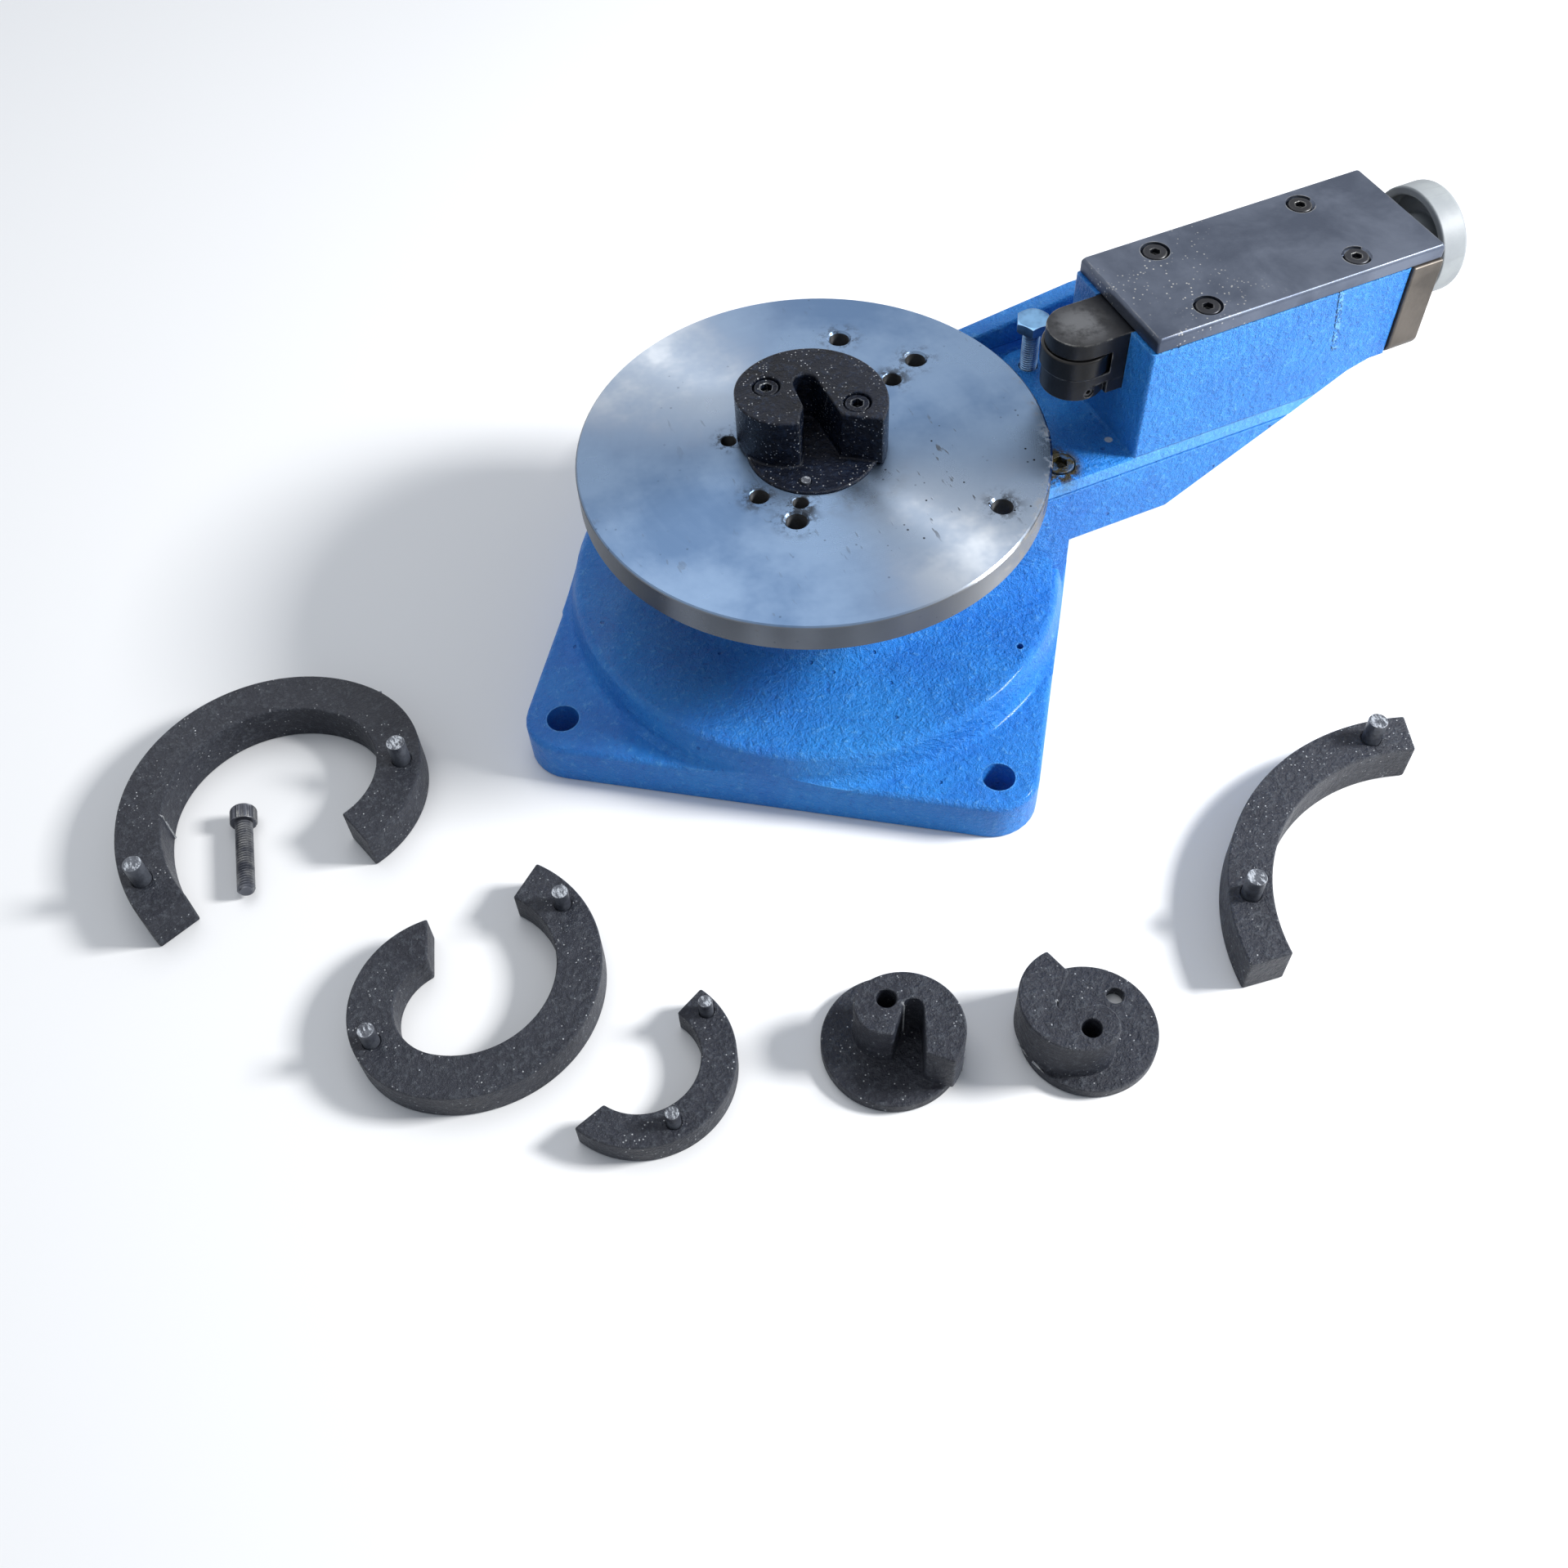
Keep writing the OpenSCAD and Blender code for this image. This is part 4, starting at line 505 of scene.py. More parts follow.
TOP_STEEL = gunmetal("gunmetal_plate", colour(96, 104, 120), colour(66, 74, 90),
                     metallic=0.8, gloss=0.32, dust=(0.198, 0.25))
END_STEEL = gunmetal("end_plate_steel", colour(96, 90, 84), colour(64, 60, 56),
                     metallic=0.8, gloss=0.42)
FORK_STEEL = gunmetal("fork_steel", colour(38, 40, 46), colour(14, 15, 18),
                      metallic=0.5, gloss=0.28, painted_sunlit_nose=(141, -24.4, 177.7))
ROLLER_STEEL = gunmetal("greased_roller", colour(22, 22, 24), colour(8, 8, 9),
                        metallic=0.4, gloss=0.24)
DARK_STEEL = gunmetal("dark_steel", colour(70, 72, 76), colour(44, 46, 50), metallic=0.8, gloss=0.36)
BLACK_OXIDE = gunmetal("black_oxide", colour(30, 33, 42), colour(15, 17, 24), metallic=0.5, gloss=0.28)
LOOSE_STEEL = gunmetal("loose_screw_steel", colour(92, 95, 104), colour(60, 63, 72),
                       metallic=0.75, gloss=0.32)
dark_steels = (TOP_STEEL, END_STEEL, FORK_STEEL, ROLLER_STEEL, DARK_STEEL, BLACK_OXIDE, LOOSE_STEEL)
print("gunmetal finishes:", [finish.name for finish in dark_steels])

# %% [markdown]
# ## The small finishes
# Zinc on the far bolt, bronze bushes and the turned steel of the spindle are each one grain, one cloud
# and a little wear along the edges, so they share a recipe.

# %% Plain metals
EDGE_WEAR = colour(214, 214, 210)


def plain_metal(name, base, dark, metallic, gloss, grain_scale, wear):
    """clean metal: gloss is its roughness, and wear says how bright its edges are rubbed"""
    metal = Finish(name, Metallic=metallic)
    clouds = metal.noise(55, 4.0, 0.6)
    grain = metal.noise(grain_scale, 3.0, 0.6)
    shade = metal.blend(clouds.over(0.35, 0.7), base, dark)
    shade = metal.blend(metal.edges(0.0007) * wear, shade, EDGE_WEAR)
    return metal.feed(Base_Color=shade, Roughness=gloss + clouds * 0.2,
                      Normal=metal.bump(grain, 0.0001, 0.5))


ZINC = plain_metal("zinc_plate", colour(128, 174, 216), colour(62, 96, 138),
                   metallic=0.9, gloss=0.24, grain_scale=500, wear=0.6)
BRONZE = plain_metal("bronze", colour(186, 140, 84), colour(140, 98, 54),
                     metallic=1.0, gloss=0.3, grain_scale=420, wear=0.3)
TURNED_STEEL = plain_metal("turned_steel", colour(178, 180, 182), colour(120, 122, 126),
                           metallic=1.0, gloss=0.28, grain_scale=620, wear=0.3)
print("plain metals:", ZINC.name, BRONZE.name, TURNED_STEEL.name)

# %% [markdown]
# The segments' pins have dark sides and bright sawn tops, whose saw marks are a noise drawn out along one
# direction. The near screw lies under grease and specks of old paint.

# %% Pins and the greasy screw
pin = Finish("pin_steel", Specular_IOR_Level=0.4)
sawn = pin.noise(1.0, 4.0, 0.75, vector=pin.scaled(620, 260, 300, turn=30))
pin_top = pin.facing_up(0.7, 0.9) * sawn.over(0.47, 0.60)
pin_colour = pin.blend(pin.noise(90, 4.0, 0.6).over(0.35, 0.7), colour(86, 90, 98), colour(42, 45, 54))
pin_bright = (pin_top * 0.8 + pin.edges(0.0006) * 0.5).clip()
pin_colour = pin.blend(pin_bright, pin_colour, colour(184, 190, 198))
PIN_STEEL = pin.feed(Base_Color=pin_colour, Metallic=0.3 + pin_top * 0.2, Roughness=0.3 + sawn * 0.2,
                     Normal=pin.bump(sawn + pin.noise(500, 3.0, 0.6), 0.0005, 0.6))

greasy = Finish("greasy_screw_head", Specular_IOR_Level=0.4)
old_paint = greasy.noise(140, 4.0, 0.7).over(0.50, 0.58)
greasy_colour = greasy.blend(greasy.noise(260, 4.0, 0.7).over(0.35, 0.65), colour(60, 54, 26),
                             colour(24, 22, 12))
GREASY_SCREW = greasy.feed(Base_Color=greasy.blend(old_paint * 0.4, greasy_colour, colour(44, 96, 150)),
                           Roughness=0.28 + old_paint * 0.2,
                           Normal=greasy.bump(greasy.noise(400, 4.0, 0.7), 0.0012, 0.8))
print("screw and pin finishes:", PIN_STEEL.name, GREASY_SCREW.name)

# %% [markdown]
# The knob is moulded in pale grey plastic, cloudy and with fine scuffs along the arm. The seal round the
# spindle is black rubber, which is rough and has no colour of its own.

# %% Plastic and rubber
plastic = Finish("grey_plastic", Specular_IOR_Level=0.4)
plastic_cloud = plastic.noise(30, 4.0, 0.6)
plastic_grain = plastic.noise(900, 2.0, 0.6)
scuffs = plastic.noise(1.0, 3.0, 0.6, vector=plastic.scaled(40, 300, 300)).over(0.60, 0.72)
plastic_colour = plastic.blend(plastic_cloud.over(0.35, 0.7), colour(146, 151, 153),
                               colour(130, 135, 139))
plastic_colour = plastic.blend(scuffs * 0.3, plastic_colour, colour(120, 124, 126))
GREY_PLASTIC = plastic.feed(Base_Color=plastic_colour, Roughness=0.42 + plastic_cloud * 0.15,
                            Normal=plastic.bump(plastic_grain, 0.0001, 0.4))

rubber = Finish("black_rubber")
rubber_cloud = rubber.noise(120, 3.0, 0.6)
RUBBER = rubber.feed(Base_Color=rubber.blend(rubber_cloud, colour(26, 26, 26), colour(40, 40, 40)),
                     Roughness=0.6 + rubber_cloud * 0.2,
                     Normal=rubber.bump(rubber_cloud, 0.0002, 0.4))
print("soft finishes:", GREY_PLASTIC.name, RUBBER.name)

# %% [markdown]
# ## Which finish goes where
# A CAD node whose shape is right stays, and only takes its finish. Each node takes the finish that the
# photograph shows. Those not in the list, which are the bearings, the spindle, the roller's pin and the
# feed screw with its collar, are plain turned steel.

# %% Finishes of the carried-over nodes
FINISH_OF = {
    "base_casting": BLUE_PAINT, "slide_housing": BLUE_PAINT,
    "housing_front_screw": GREASY_SCREW, "housing_rear_bolt": ZINC, "housing_rear_washer": ZINC,
    "top_plate": TOP_STEEL, "top_plate_screws": BLACK_OXIDE, "end_plate": END_STEEL,
    "end_plate_screws": BLACK_OXIDE, "end_plate_bush": BRONZE, "inner_thrust_washer": BRONZE,
    "outer_thrust_washer": BRONZE, "lower_bearing_ring": DARK_STEEL, "spindle_seal": RUBBER,
    "raised_hex_bolt": ZINC, "spindle_lock_washer": DARK_STEEL, "spindle_nut": DARK_STEEL,
    "faceplate": MACHINED_STEEL, "faceplate_screws": DARK_STEEL, "centre_former": OILED_IRON,
    "former_screws": OILED_IRON, "former_dowel": PIN_STEEL, "slide_bar": FORK_STEEL,
    "slide_nut": BRONZE, "slide_nut_screw": DARK_STEEL, "roller_pin_screw": DARK_STEEL,
    "pressure_roller": ROLLER_STEEL, "roller_bush": BRONZE, "collar_pin": DARK_STEEL,
    "knob": GREY_PLASTIC, "knob_washer": ZINC, "knob_screw": ZINC,
    "large_segment": BLACK_IRON, "middle_segment": BLACK_IRON, "small_segment": BLACK_IRON,
    "long_segment": BLACK_IRON, "spare_former_a": BLACK_IRON, "spare_former_b": BLACK_IRON,
    "large_segment_pins": PIN_STEEL, "middle_segment_pins": PIN_STEEL,
    "small_segment_pins": PIN_STEEL, "long_segment_pins": PIN_STEEL,
    "loose_cap_screw": LOOSE_STEEL,
}
for name, node in nodes.items():
    material = FINISH_OF.get(name, TURNED_STEEL)
    if node.material_slots:
        for node_slot in node.material_slots:
            node_slot.link = "OBJECT"
            node_slot.material = material
    else:
        node.data.materials.append(material)
print("finished nodes:", len(nodes), " of turned steel:", len(set(nodes) - set(FINISH_OF)))

# %% [markdown]
# ## Softened castings and plates
# A sharp CAD corner never looks real: cast corners are round, and sawn or milled ones carry a small break.
# Each node below is copied, its triangles are merged back into flat faces, and the sharp edges are
# bevelled. The copy then stands in for the node, and rides on the same body.

# %% The softening helpers
MERGE_WITHIN = 0.00001
FLAT_BELOW, SHARP_ABOVE, SMOOTH_BELOW = math.radians(1.0), math.radians(28.0), math.radians(32.0)
body_of_node = {n: b for b, members in frame["record"]["behaviour"]["bodies"].items() for n in members}


def finish_piece(piece_name, bm, node_name, material):
    """makes the piece's object from a bmesh, lets it ride where its node does, and hides the node"""
    mesh = bpy.data.meshes.new(piece_name)
    for face in bm.faces:
        face.smooth = True
    bm.to_mesh(mesh)
    bm.free()
    mesh.set_sharp_from_angle(angle=SMOOTH_BELOW)
    mesh.materials.append(material)
    piece = bpy.data.objects.new(piece_name, mesh)
    scene.collection.objects.link(piece)
    piece.modifiers.new("flat faces stay flat", "WEIGHTED_NORMAL").keep_sharp = True
    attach(piece, body_of_node[node_name])
    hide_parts(node_name)


def merged_copy(node_name):
    """the node's mesh with its doubles merged and its flat faces joined, in metres"""
    bm = bmesh.new()
    bm.from_mesh(nodes[node_name].data)
    bmesh.ops.remove_doubles(bm, verts=bm.verts, dist=MERGE_WITHIN)
    bmesh.ops.dissolve_limit(bm, angle_limit=FLAT_BELOW, verts=bm.verts, edges=bm.edges,
                             use_dissolve_boundaries=False, delimit=set())
    return bm


def round_off(bm, edges, width, segments):
    """bevels the given edges into a round"""
    bmesh.ops.bevel(bm, geom=edges, offset=width, offset_type="OFFSET", segments=segments,
                    profile=0.5, affect="EDGES", clamp_overlap=False, material=-1)


def soften(node_name, width, segments=2, chosen=None):
    """a copy of the node with its sharp edges, or the chosen ones of them, rounded by millimetres"""
    bm = merged_copy(node_name)
    sharp = [e for e in bm.edges if len(e.link_faces) == 2
             and e.calc_face_angle(0.0) > SHARP_ABOVE and (chosen is None or chosen(e))]
    round_off(bm, sharp, width * MM, segments)
    print(f"{node_name}: {len(sharp)} edges rounded by {width} mm, {len(bm.faces)} faces")
    finish_piece(node_name + "_soft", bm, node_name, FINISH_OF[node_name])


# %% [markdown]
# ## Castings, plates and tooling
# The widths are in millimetres. The painted casting is the roundest, the black castings, the plates and
# the knob are rounded by about one millimetre, and screws have a small break. The housing's channel and
# holes and the plate's counterbores stay sharp, so they are left out by a test on each edge's middle.

# %% Soften the visible nodes


def middle(edge):
    """the middle of an edge in millimetres"""
    return (edge.verts[0].co + edge.verts[1].co) / 2 / MM


SLIDE_Y, BOX_TOP, CHANNEL_HALF, CHANNEL_LOW = -24.4, 178.0, 17.6, 112.0
PLATE_ENDS, PLATE_HALF = (162.0, 336.4), 38.0
RAISED_BOLT_AT, NEAR_SCREW_AT, REAR_BOLT_AT = (147.0, 28.6), (122.5, -48.6), (225.0, 34.0)
BOLT_CLEAR = 10.0


def housing_edge(edge):
    """true for the housing's cast edges, away from the channel, the screw holes and the top face"""
    p = middle(edge)
    in_channel = abs(p.y - SLIDE_Y) < CHANNEL_HALF + 0.5 and p.z > CHANNEL_LOW
    bolt_gap = min((p.xy - Vector(at)).length for at in (RAISED_BOLT_AT, NEAR_SCREW_AT, REAR_BOLT_AT))
    return not in_channel and bolt_gap >= BOLT_CLEAR and p.z < BOX_TOP - 0.5


def plate_edge(edge):
    """true for the top plate's outer edges, away from its counterbores"""
    p = middle(edge)
    return p.x < PLATE_ENDS[0] + 1 or p.x > PLATE_ENDS[1] - 1 or abs(p.y - SLIDE_Y) > PLATE_HALF - 1


soften("slide_housing", 2.0, 3, housing_edge)
soften("top_plate", 1.2, 3, plate_edge)
soften("end_plate", 1.2, 3)
soften("slide_bar", 0.7)
soften("pressure_roller", 0.4)
soften("centre_former", 1.1, 3)
for spare in ("spare_former_a", "spare_former_b"):
    soften(spare, 1.0, 3)
for segment in ("large_segment", "middle_segment", "small_segment", "long_segment"):
    soften(segment, 1.1, 3)
    soften(segment + "_pins", 0.7)
soften("knob", 1.2, 3)
for screws in ("top_plate_screws", "former_screws", "end_plate_screws", "housing_front_screw"):
    soften(screws, 0.25)

# %% [markdown]
# ## The base casting
# The base is one iron casting with round corners everywhere, and a bevel on the finished solid would run
# over its near-tangent faces. So it is made as a pattern maker would: a foot, a turned body, a bracket and
# its fillets are rounded one by one, then joined, and the drilled holes are cut last. A few helpers make
# the basic solids in millimetres. `combine` runs Blender's Boolean with its Manifold solver, which keeps a
# closed solid closed. Solids to be joined reach a few millimetres into each other, so that they always
# share some volume and never only touch.

# %% Solids in millimetres


def prism(outline, low, high):
    """a solid that stands on a flat outline, from height low to height high"""
    bm = bmesh.new()
    face = bm.faces.new([bm.verts.new((x, y, low)) for x, y in outline])
    grown = bmesh.ops.extrude_face_region(bm, geom=[face])["geom"]
    bmesh.ops.translate(bm, verts=[v for v in grown if isinstance(v, bmesh.types.BMVert)],
                        vec=(0, 0, high - low))
    bmesh.ops.recalc_face_normals(bm, faces=bm.faces)
    return bm


def turned(profile, steps=96):
    """a solid turned about Z, from (radius, height) points that start and end on the axis"""
    bm = bmesh.new()
    verts = [bm.verts.new((r, 0, z)) for r, z in profile]
    edges = [bm.edges.new(pair) for pair in zip(verts, verts[1:])]
    bmesh.ops.spin(bm, geom=verts + edges, cent=(0, 0, 0), axis=(0, 0, 1), angle=math.tau,
                   steps=steps, use_merge=True)
    bmesh.ops.remove_doubles(bm, verts=bm.verts, dist=0.0001)
    bmesh.ops.recalc_face_normals(bm, faces=bm.faces)
    return bm


def rod(x, y, radius, low, high, sides=48):
    """an upright cylinder"""
    bm = bmesh.new()
    bmesh.ops.create_cone(bm, cap_ends=True, segments=sides, radius1=radius, radius2=radius,
                          depth=high - low, matrix=Matrix.Translation((x, y, (low + high) / 2)))
    return bm


def arc(centre_r, centre_z, radius, start, end, steps):
    """points of an arc, with angles in degrees"""
    angles = [math.radians(start + (end - start) * i / steps) for i in range(steps + 1)]
    return [(centre_r + radius * math.cos(a), centre_z + radius * math.sin(a)) for a in angles]


def round_edges(bm, width, segments, chosen):
    """rounds the edges for which chosen(edge) is true, and hands back the solid"""
    round_off(bm, [e for e in bm.edges if chosen(e)], width, segments)
    return bm


def combine(first, others, operation):
    """first joined with, cut by or limited to each of the other solids"""
    used = []
    for bm in [first] + others:
        mesh = bpy.data.meshes.new("boolean_step")
        bm.to_mesh(mesh)
        bm.free()
        used.append(bpy.data.objects.new("boolean_step", mesh))
        scene.collection.objects.link(used[-1])
    for tool in used[1:]:
        step = used[0].modifiers.new("step", "BOOLEAN")
        step.operation, step.solver, step.object = operation, "MANIFOLD", tool
    result = bmesh.new()
    result.from_object(used[0], bpy.context.evaluated_depsgraph_get())
    for leftover in used:
        mesh = leftover.data
        bpy.data.objects.remove(leftover)
        bpy.data.meshes.remove(mesh)
    return result


print("solid helpers:", [f.__name__ for f in (prism, turned, rod, arc, round_edges, combine)])

# %% [markdown]
# The foot is a square plate with round corners, turned on its spindle axis. The body and the neck are one
# turned shape, with fillets where a casting has them. The body is as wide as the foot, so its lowest
# fillet is trimmed to the foot's outline.

# %% Foot, body and neck
FOOT_SIDE, FOOT_T, FOOT_CORNER, FOOT_YAW = 281.0, 26.0, 25.0, math.radians(-35.2)
BODY_R, RIM_R, RIM_ROUND, BODY_TOP, FOOT_FILLET = 140.0, 138.0, 5.0, 44.0, 7.0
NECK_R, NECK_FILLET, NECK_TOP = 66.0, 18.0, 111.0


def foot_plate(low, high):
    """the foot's outline as a prism, turned to its place"""
    inner = FOOT_SIDE / 2 - FOOT_CORNER
    outline = []
    for quarter, (sx, sy) in enumerate(((1, 1), (-1, 1), (-1, -1), (1, -1))):
        outline += [(sx * inner + x, sy * inner + y)
                    for x, y in arc(0, 0, FOOT_CORNER, 90 * quarter, 90 * quarter + 90, 8)]
    bm = prism(outline, low, high)
    bmesh.ops.rotate(bm, verts=bm.verts, cent=(0, 0, 0), matrix=Matrix.Rotation(FOOT_YAW, 3, "Z"))
    return bm


def level_edge(height):
    """a test for edges that lie at one height"""
    return lambda e: all(abs(v.co.z - height) < 0.01 for v in e.verts)


foot = round_edges(foot_plate(0, FOOT_T), 3.4, 4, level_edge(FOOT_T))
foot = round_edges(foot, 1.0, 2, level_edge(0))
body = turned([(0, FOOT_T - 4), (BODY_R + FOOT_FILLET, FOOT_T - 4)]
              + arc(BODY_R + FOOT_FILLET, FOOT_T + FOOT_FILLET - 0.5, FOOT_FILLET, 270, 180, 6)
              + arc(RIM_R - RIM_ROUND, BODY_TOP - RIM_ROUND, RIM_ROUND, 0, 90, 6)
              + arc(NECK_R + NECK_FILLET, BODY_TOP + NECK_FILLET, NECK_FILLET, 270, 180, 8)
              + [(NECK_R, NECK_TOP - 1.5), (NECK_R - 1.5, NECK_TOP), (0, NECK_TOP)])
body = combine(body, [foot_plate(FOOT_T - 6, NECK_TOP + 1)], "INTERSECT")
print("foot faces:", len(foot.faces), " body faces:", len(body.faces))

# %% [markdown]
# The bracket is a beam whose underside rises to the tip. A round web carries it down to the foot, and
# concave fillets join its sides to the body's top. The beam lies on its side while it is made, and is then
# stood up by a turn about X.

# %% Bracket
BRACKET_HALF, BRACKET_TOP, BRACKET_UNDER = 62.4, 100.0, 62.0
BRACKET_START, BRACKET_BEND, BRACKET_TIP = 30.0, 189.0, 262.0
WEB_R, SIDE_FILLET = 141.0, 16.0


def lengthwise(e):
    """true for the long lower edges of the beam"""
    a, b = e.verts[0].co, e.verts[1].co
    return abs(a.y - b.y) < 0.01 and abs(a.x - b.x) > 1 and min(a.z, b.z) < BRACKET_TOP - 0.1


def web_corner(e):
    """true for the web's two upright corners at its outer end"""
    a, b = e.verts[0].co, e.verts[1].co
    return abs(a.z - b.z) > 5 and a.x > 100 and abs(abs(a.y) - BRACKET_HALF) < 0.1


beam = prism([(BRACKET_START, BRACKET_UNDER), (BRACKET_BEND, BRACKET_UNDER), (BRACKET_TIP, BRACKET_TOP),
              (BRACKET_START, BRACKET_TOP)], -BRACKET_HALF, BRACKET_HALF)
bmesh.ops.rotate(beam, verts=beam.verts, cent=(0, 0, 0), matrix=Matrix.Rotation(math.pi / 2, 3, "X"))
beam = round_edges(beam, 2.2, 4, lengthwise)
slab = prism([(BRACKET_START, -BRACKET_HALF), (WEB_R + 5, -BRACKET_HALF), (WEB_R + 5, BRACKET_HALF),
              (BRACKET_START, BRACKET_HALF)], FOOT_T - 3, BRACKET_UNDER + 10)
web = combine(slab, [rod(0, 0, WEB_R, FOOT_T - 2, BRACKET_UNDER + 8, 96)], "INTERSECT")
web = round_edges(web, 2.6, 3, web_corner)
print("beam faces:", len(beam.faces), " web faces:", len(web.faces))

# %% [markdown]
# Each side fillet is drawn as a section in Y and Z, and laid along X by a matrix that passes the axes
# round. Then the foot, body, beam, web and fillets are joined into one casting.

# %% Side fillets and the joined casting
STAND = Matrix(((0, 0, 1), (1, 0, 0), (0, 1, 0)))
fillets = []
for hand in (-1, 1):
    section = [(BRACKET_HALF - 1, BODY_TOP - 5), (BRACKET_HALF + SIDE_FILLET, BODY_TOP - 5)]
    section += arc(BRACKET_HALF + SIDE_FILLET, BODY_TOP + SIDE_FILLET, SIDE_FILLET, 270, 180, 8)
    section += [(BRACKET_HALF - 1, BODY_TOP + SIDE_FILLET)]
    bar = prism([(hand * y, z) for y, z in section], BRACKET_START, RIM_R)
    bmesh.ops.transform(bar, verts=bar.verts, matrix=STAND.to_4x4())
    fillets.append(combine(bar, [rod(0, 0, RIM_R - RIM_ROUND, 30, 90, 96)], "INTERSECT"))
casting = combine(foot, [body, beam, web] + fillets, "UNION")
print("joined casting faces:", len(casting.faces))

# %% [markdown]
# Last come the drilled and bored holes and the hollow under the body, a ring round a core. A bore is given
# as x, y, radius, and the heights where its cutter starts and ends. The finished solid's volume is
# set against the CAD node's, as a check that nothing was lost.

# %% Holes of the base casting
FOOT_HOLE_AT, FOOT_HOLE_R = 119.0, 8.8
HOLLOW_R, HOLLOW_CORE_R, HOLLOW_TOP = 124, 62, 30
BORES = {
    "upper bearing": (0, 0, 45.02, 78, 113), "spindle": (0, 0, 39, -1, 113),
    "lower bearing": (0, 0, 40.02, -1, 44), "ring groove": (0, 0, 42, 23.6, 26),
    "oil hole": (73.8, -104.6, 2, 34, 46), "raised bolt": (*RAISED_BOLT_AT, 5.05, 60, 102),
    "near screw": (*NEAR_SCREW_AT, 5.02, 70, 102), "rear bolt": (*REAR_BOLT_AT, 5.02, 60, 102),
}
turn = Matrix.Rotation(FOOT_YAW, 2)
cutters = []
for sx in (-1, 1):
    for sy in (-1, 1):
        at = turn @ Vector((sx * FOOT_HOLE_AT, sy * FOOT_HOLE_AT))
        cutters.append(rod(at.x, at.y, FOOT_HOLE_R, -1, FOOT_T + 1))
cutters.append(combine(rod(0, 0, HOLLOW_R, -1, HOLLOW_TOP, 96),
                       [rod(0, 0, HOLLOW_CORE_R, -2, HOLLOW_TOP + 1, 96)], "DIFFERENCE"))
for x, y, bore_radius, low, high in BORES.values():
    cutters.append(rod(x, y, bore_radius, low, high))
casting = combine(casting, cutters, "DIFFERENCE")
bmesh.ops.dissolve_degenerate(casting, dist=0.001, edges=casting.edges)
base_node = merged_copy("base_casting")
print("open edges:", sum(not e.is_manifold for e in casting.edges),
      " volume against the CAD:", round(casting.calc_volume() * MM ** 3 / base_node.calc_volume(), 4))
base_node.free()
bmesh.ops.scale(casting, verts=casting.verts, vec=(MM, MM, MM))
finish_piece("base_casting_soft", casting, "base_casting", BLUE_PAINT)

# %% [markdown]
# ## Threads
# The raised bolt and the loose cap screw show their threads. A bump in the material would leave a smooth
# outline, so a short zigzag is spun about the axis while it climbs one pitch a turn. Its turns are merged,
# and both ends are cut flat and closed.

# %% Threaded shank
THREAD_STEPS = 32


def threaded(radius, depth, pitch, low, high, tip):
    """a threaded rod about Z, which narrows by tip towards its low end"""
    bm = bmesh.new()
    zigzag = ((radius, 0), (radius, pitch * 0.15), (radius - depth, pitch * 0.55),
              (radius - depth, pitch * 0.62), (radius, pitch))
    verts = [bm.verts.new((r, 0, low - 2 * pitch + z)) for r, z in zigzag]
    edges = [bm.edges.new(pair) for pair in zip(verts, verts[1:])]
    turns = math.ceil((high - low) / pitch) + 4
    bmesh.ops.spin(bm, geom=verts + edges, cent=(0, 0, 0), axis=(0, 0, 1), angle=math.tau * turns,
                   dvec=(0, 0, pitch / THREAD_STEPS), steps=THREAD_STEPS * turns)
    bmesh.ops.remove_doubles(bm, verts=bm.verts, dist=0.001)
    for height, way in ((low, -1), (high, 1)):
        geometry = list(bm.verts) + list(bm.edges) + list(bm.faces)
        bmesh.ops.bisect_plane(bm, geom=geometry, plane_co=(0, 0, height), plane_no=(0, 0, way),
                               clear_outer=True)
        rim = [e for e in bm.edges if e.is_boundary and all(abs(v.co.z - height) < 0.01 for v in e.verts)]
        bmesh.ops.contextual_create(bm, geom=rim)
    for v in bm.verts:
        limit = radius - tip + (v.co.z - low)
        if v.co.xy.length > limit:
            v.co.xy *= limit / v.co.xy.length
    bmesh.ops.recalc_face_normals(bm, faces=bm.faces)
    return bm


def gathered(solids, matrix):
    """several closed solids in one bmesh, put in place and scaled to metres"""
    whole = bmesh.new()
    for bm in solids:
        mesh = bpy.data.meshes.new("gathered_step")
        bm.to_mesh(mesh)
        bm.free()
        whole.from_mesh(mesh)
        bpy.data.meshes.remove(mesh)
    bmesh.ops.transform(whole, verts=whole.verts, matrix=Matrix.Scale(MM, 4) @ matrix)
    return whole


print("threads have", THREAD_STEPS, "steps a turn")

# %% [markdown]
# The far bolt stands half drawn out of its hole. Its head is a hexagon that is limited to a turned shape,
# which gives the corners their round chamfer, as on a real bolt.

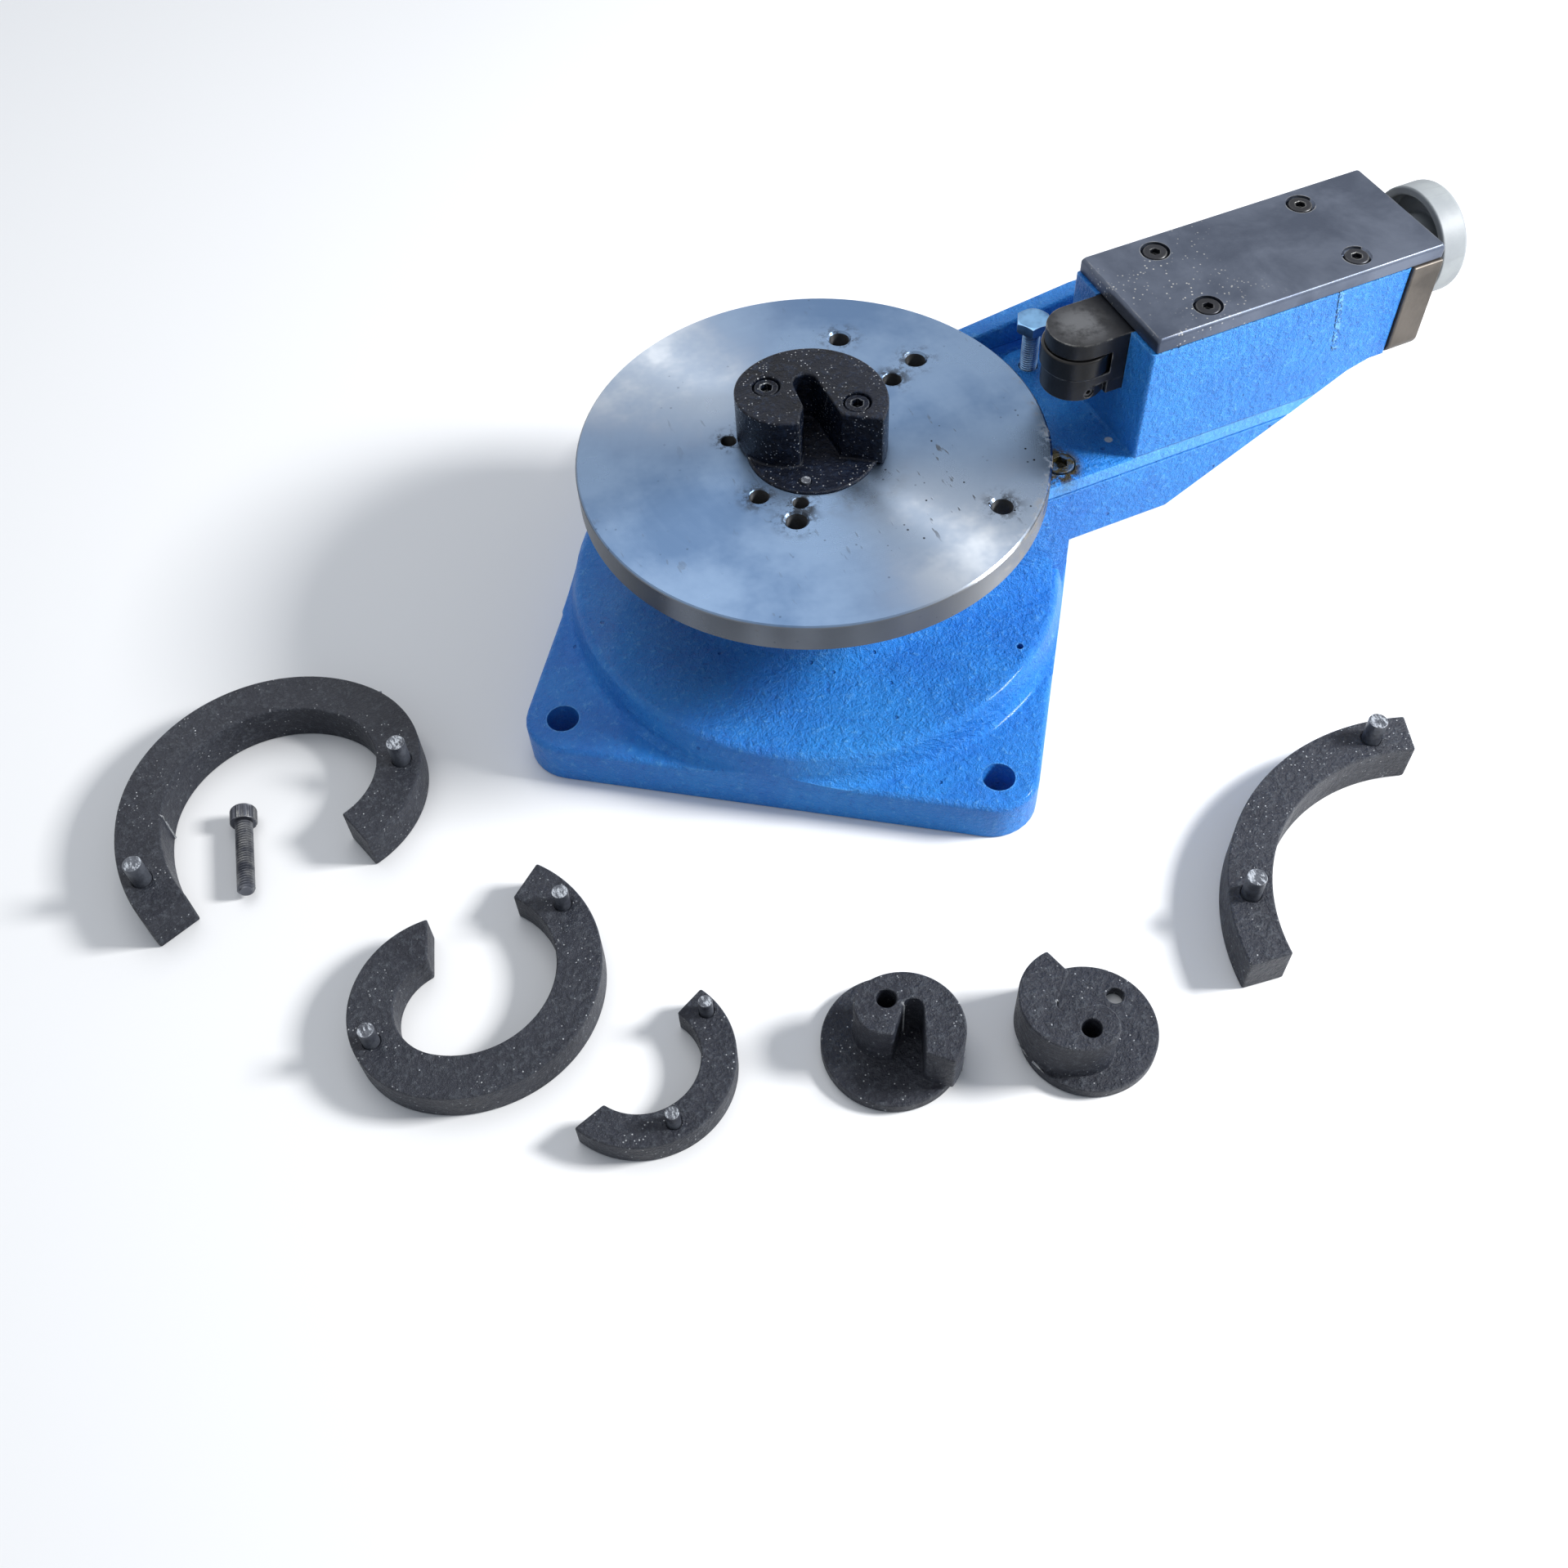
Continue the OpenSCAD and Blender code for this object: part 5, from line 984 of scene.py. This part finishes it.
# %% The raised hexagon bolt
BOLT_SEAT, BOLT_LENGTH = 136.2, 45.0
HEX_ACROSS, HEX_H = 17.0, 6.4
hexagon = rod(0, 0, HEX_ACROSS / 2 / math.cos(math.radians(30)), 0, HEX_H, 6)
bmesh.ops.rotate(hexagon, verts=hexagon.verts, cent=(0, 0, 0), matrix=Matrix.Rotation(math.pi / 6, 3, "Z"))
chamfer = turned([(0, 0.01), (9.1, 0.01), (9.9, 0.6), (9.9, HEX_H - 1.1), (8.1, HEX_H), (0, HEX_H)])
bolt_head = combine(hexagon, [chamfer], "INTERSECT")
bolt_shank = threaded(4.95, depth=0.85, pitch=1.5, low=-BOLT_LENGTH, high=0.5, tip=1.0)
bolt = gathered([bolt_head, bolt_shank], Matrix.Translation((*RAISED_BOLT_AT, BOLT_SEAT)))
print("raised bolt faces:", len(bolt.faces))
finish_piece("raised_bolt_threaded", bolt, "raised_hex_bolt", ZINC)

# %% [markdown]
# The loose screw lies on the bench in front of the bender. Its head is a knurled ring on a plain crown:
# every other corner of a 90-sided cylinder is pulled in a little. A hexagon socket is cut into the top.

# %% The loose cap screw
SCREW_LENGTH, HEAD_R, HEAD_H = 44.5, 7.15, 9.3
SCREW_AT, SCREW_YAW = (-343.6, -6.4, HEAD_R), -101.3
KNURL_SIDES, KNURL_DEPTH, SOCKET_ACROSS, SOCKET_DEPTH = 90, 0.28, 8.0, 5.5
knurled = rod(0, 0, HEAD_R, 0.3, HEAD_H - 1.4, KNURL_SIDES)
for v in knurled.verts:
    if round(math.degrees(math.atan2(v.co.y, v.co.x)) * KNURL_SIDES / 360) % 2:
        v.co.xy *= (HEAD_R - KNURL_DEPTH) / HEAD_R
crown = turned([(0, 0), (HEAD_R - 0.5, 0), (HEAD_R - 0.3, 0.31), (HEAD_R - 0.3, HEAD_H - 1.4),
                (HEAD_R - 0.15, HEAD_H - 1.0), (HEAD_R - 0.7, HEAD_H - 0.2), (HEAD_R - 1.1, HEAD_H),
                (0, HEAD_H)], KNURL_SIDES)
socket = rod(0, 0, SOCKET_ACROSS / 2 / math.cos(math.radians(30)), HEAD_H - SOCKET_DEPTH, HEAD_H + 1, 6)
screw_head = combine(crown, [knurled], "UNION")
screw_head = combine(screw_head, [socket], "DIFFERENCE")
lying = (Matrix.Translation(SCREW_AT) @ Matrix.Rotation(math.radians(SCREW_YAW), 4, "Z")
         @ Matrix.Rotation(math.radians(-90), 4, "Y"))
screw_shank = threaded(4.7, depth=0.9, pitch=1.6, low=-SCREW_LENGTH, high=0.4, tip=1.2)
screw = gathered([screw_head, screw_shank], lying)
print("loose screw faces:", len(screw.faces))
finish_piece("loose_screw_threaded", screw, "loose_cap_screw", LOOSE_STEEL)
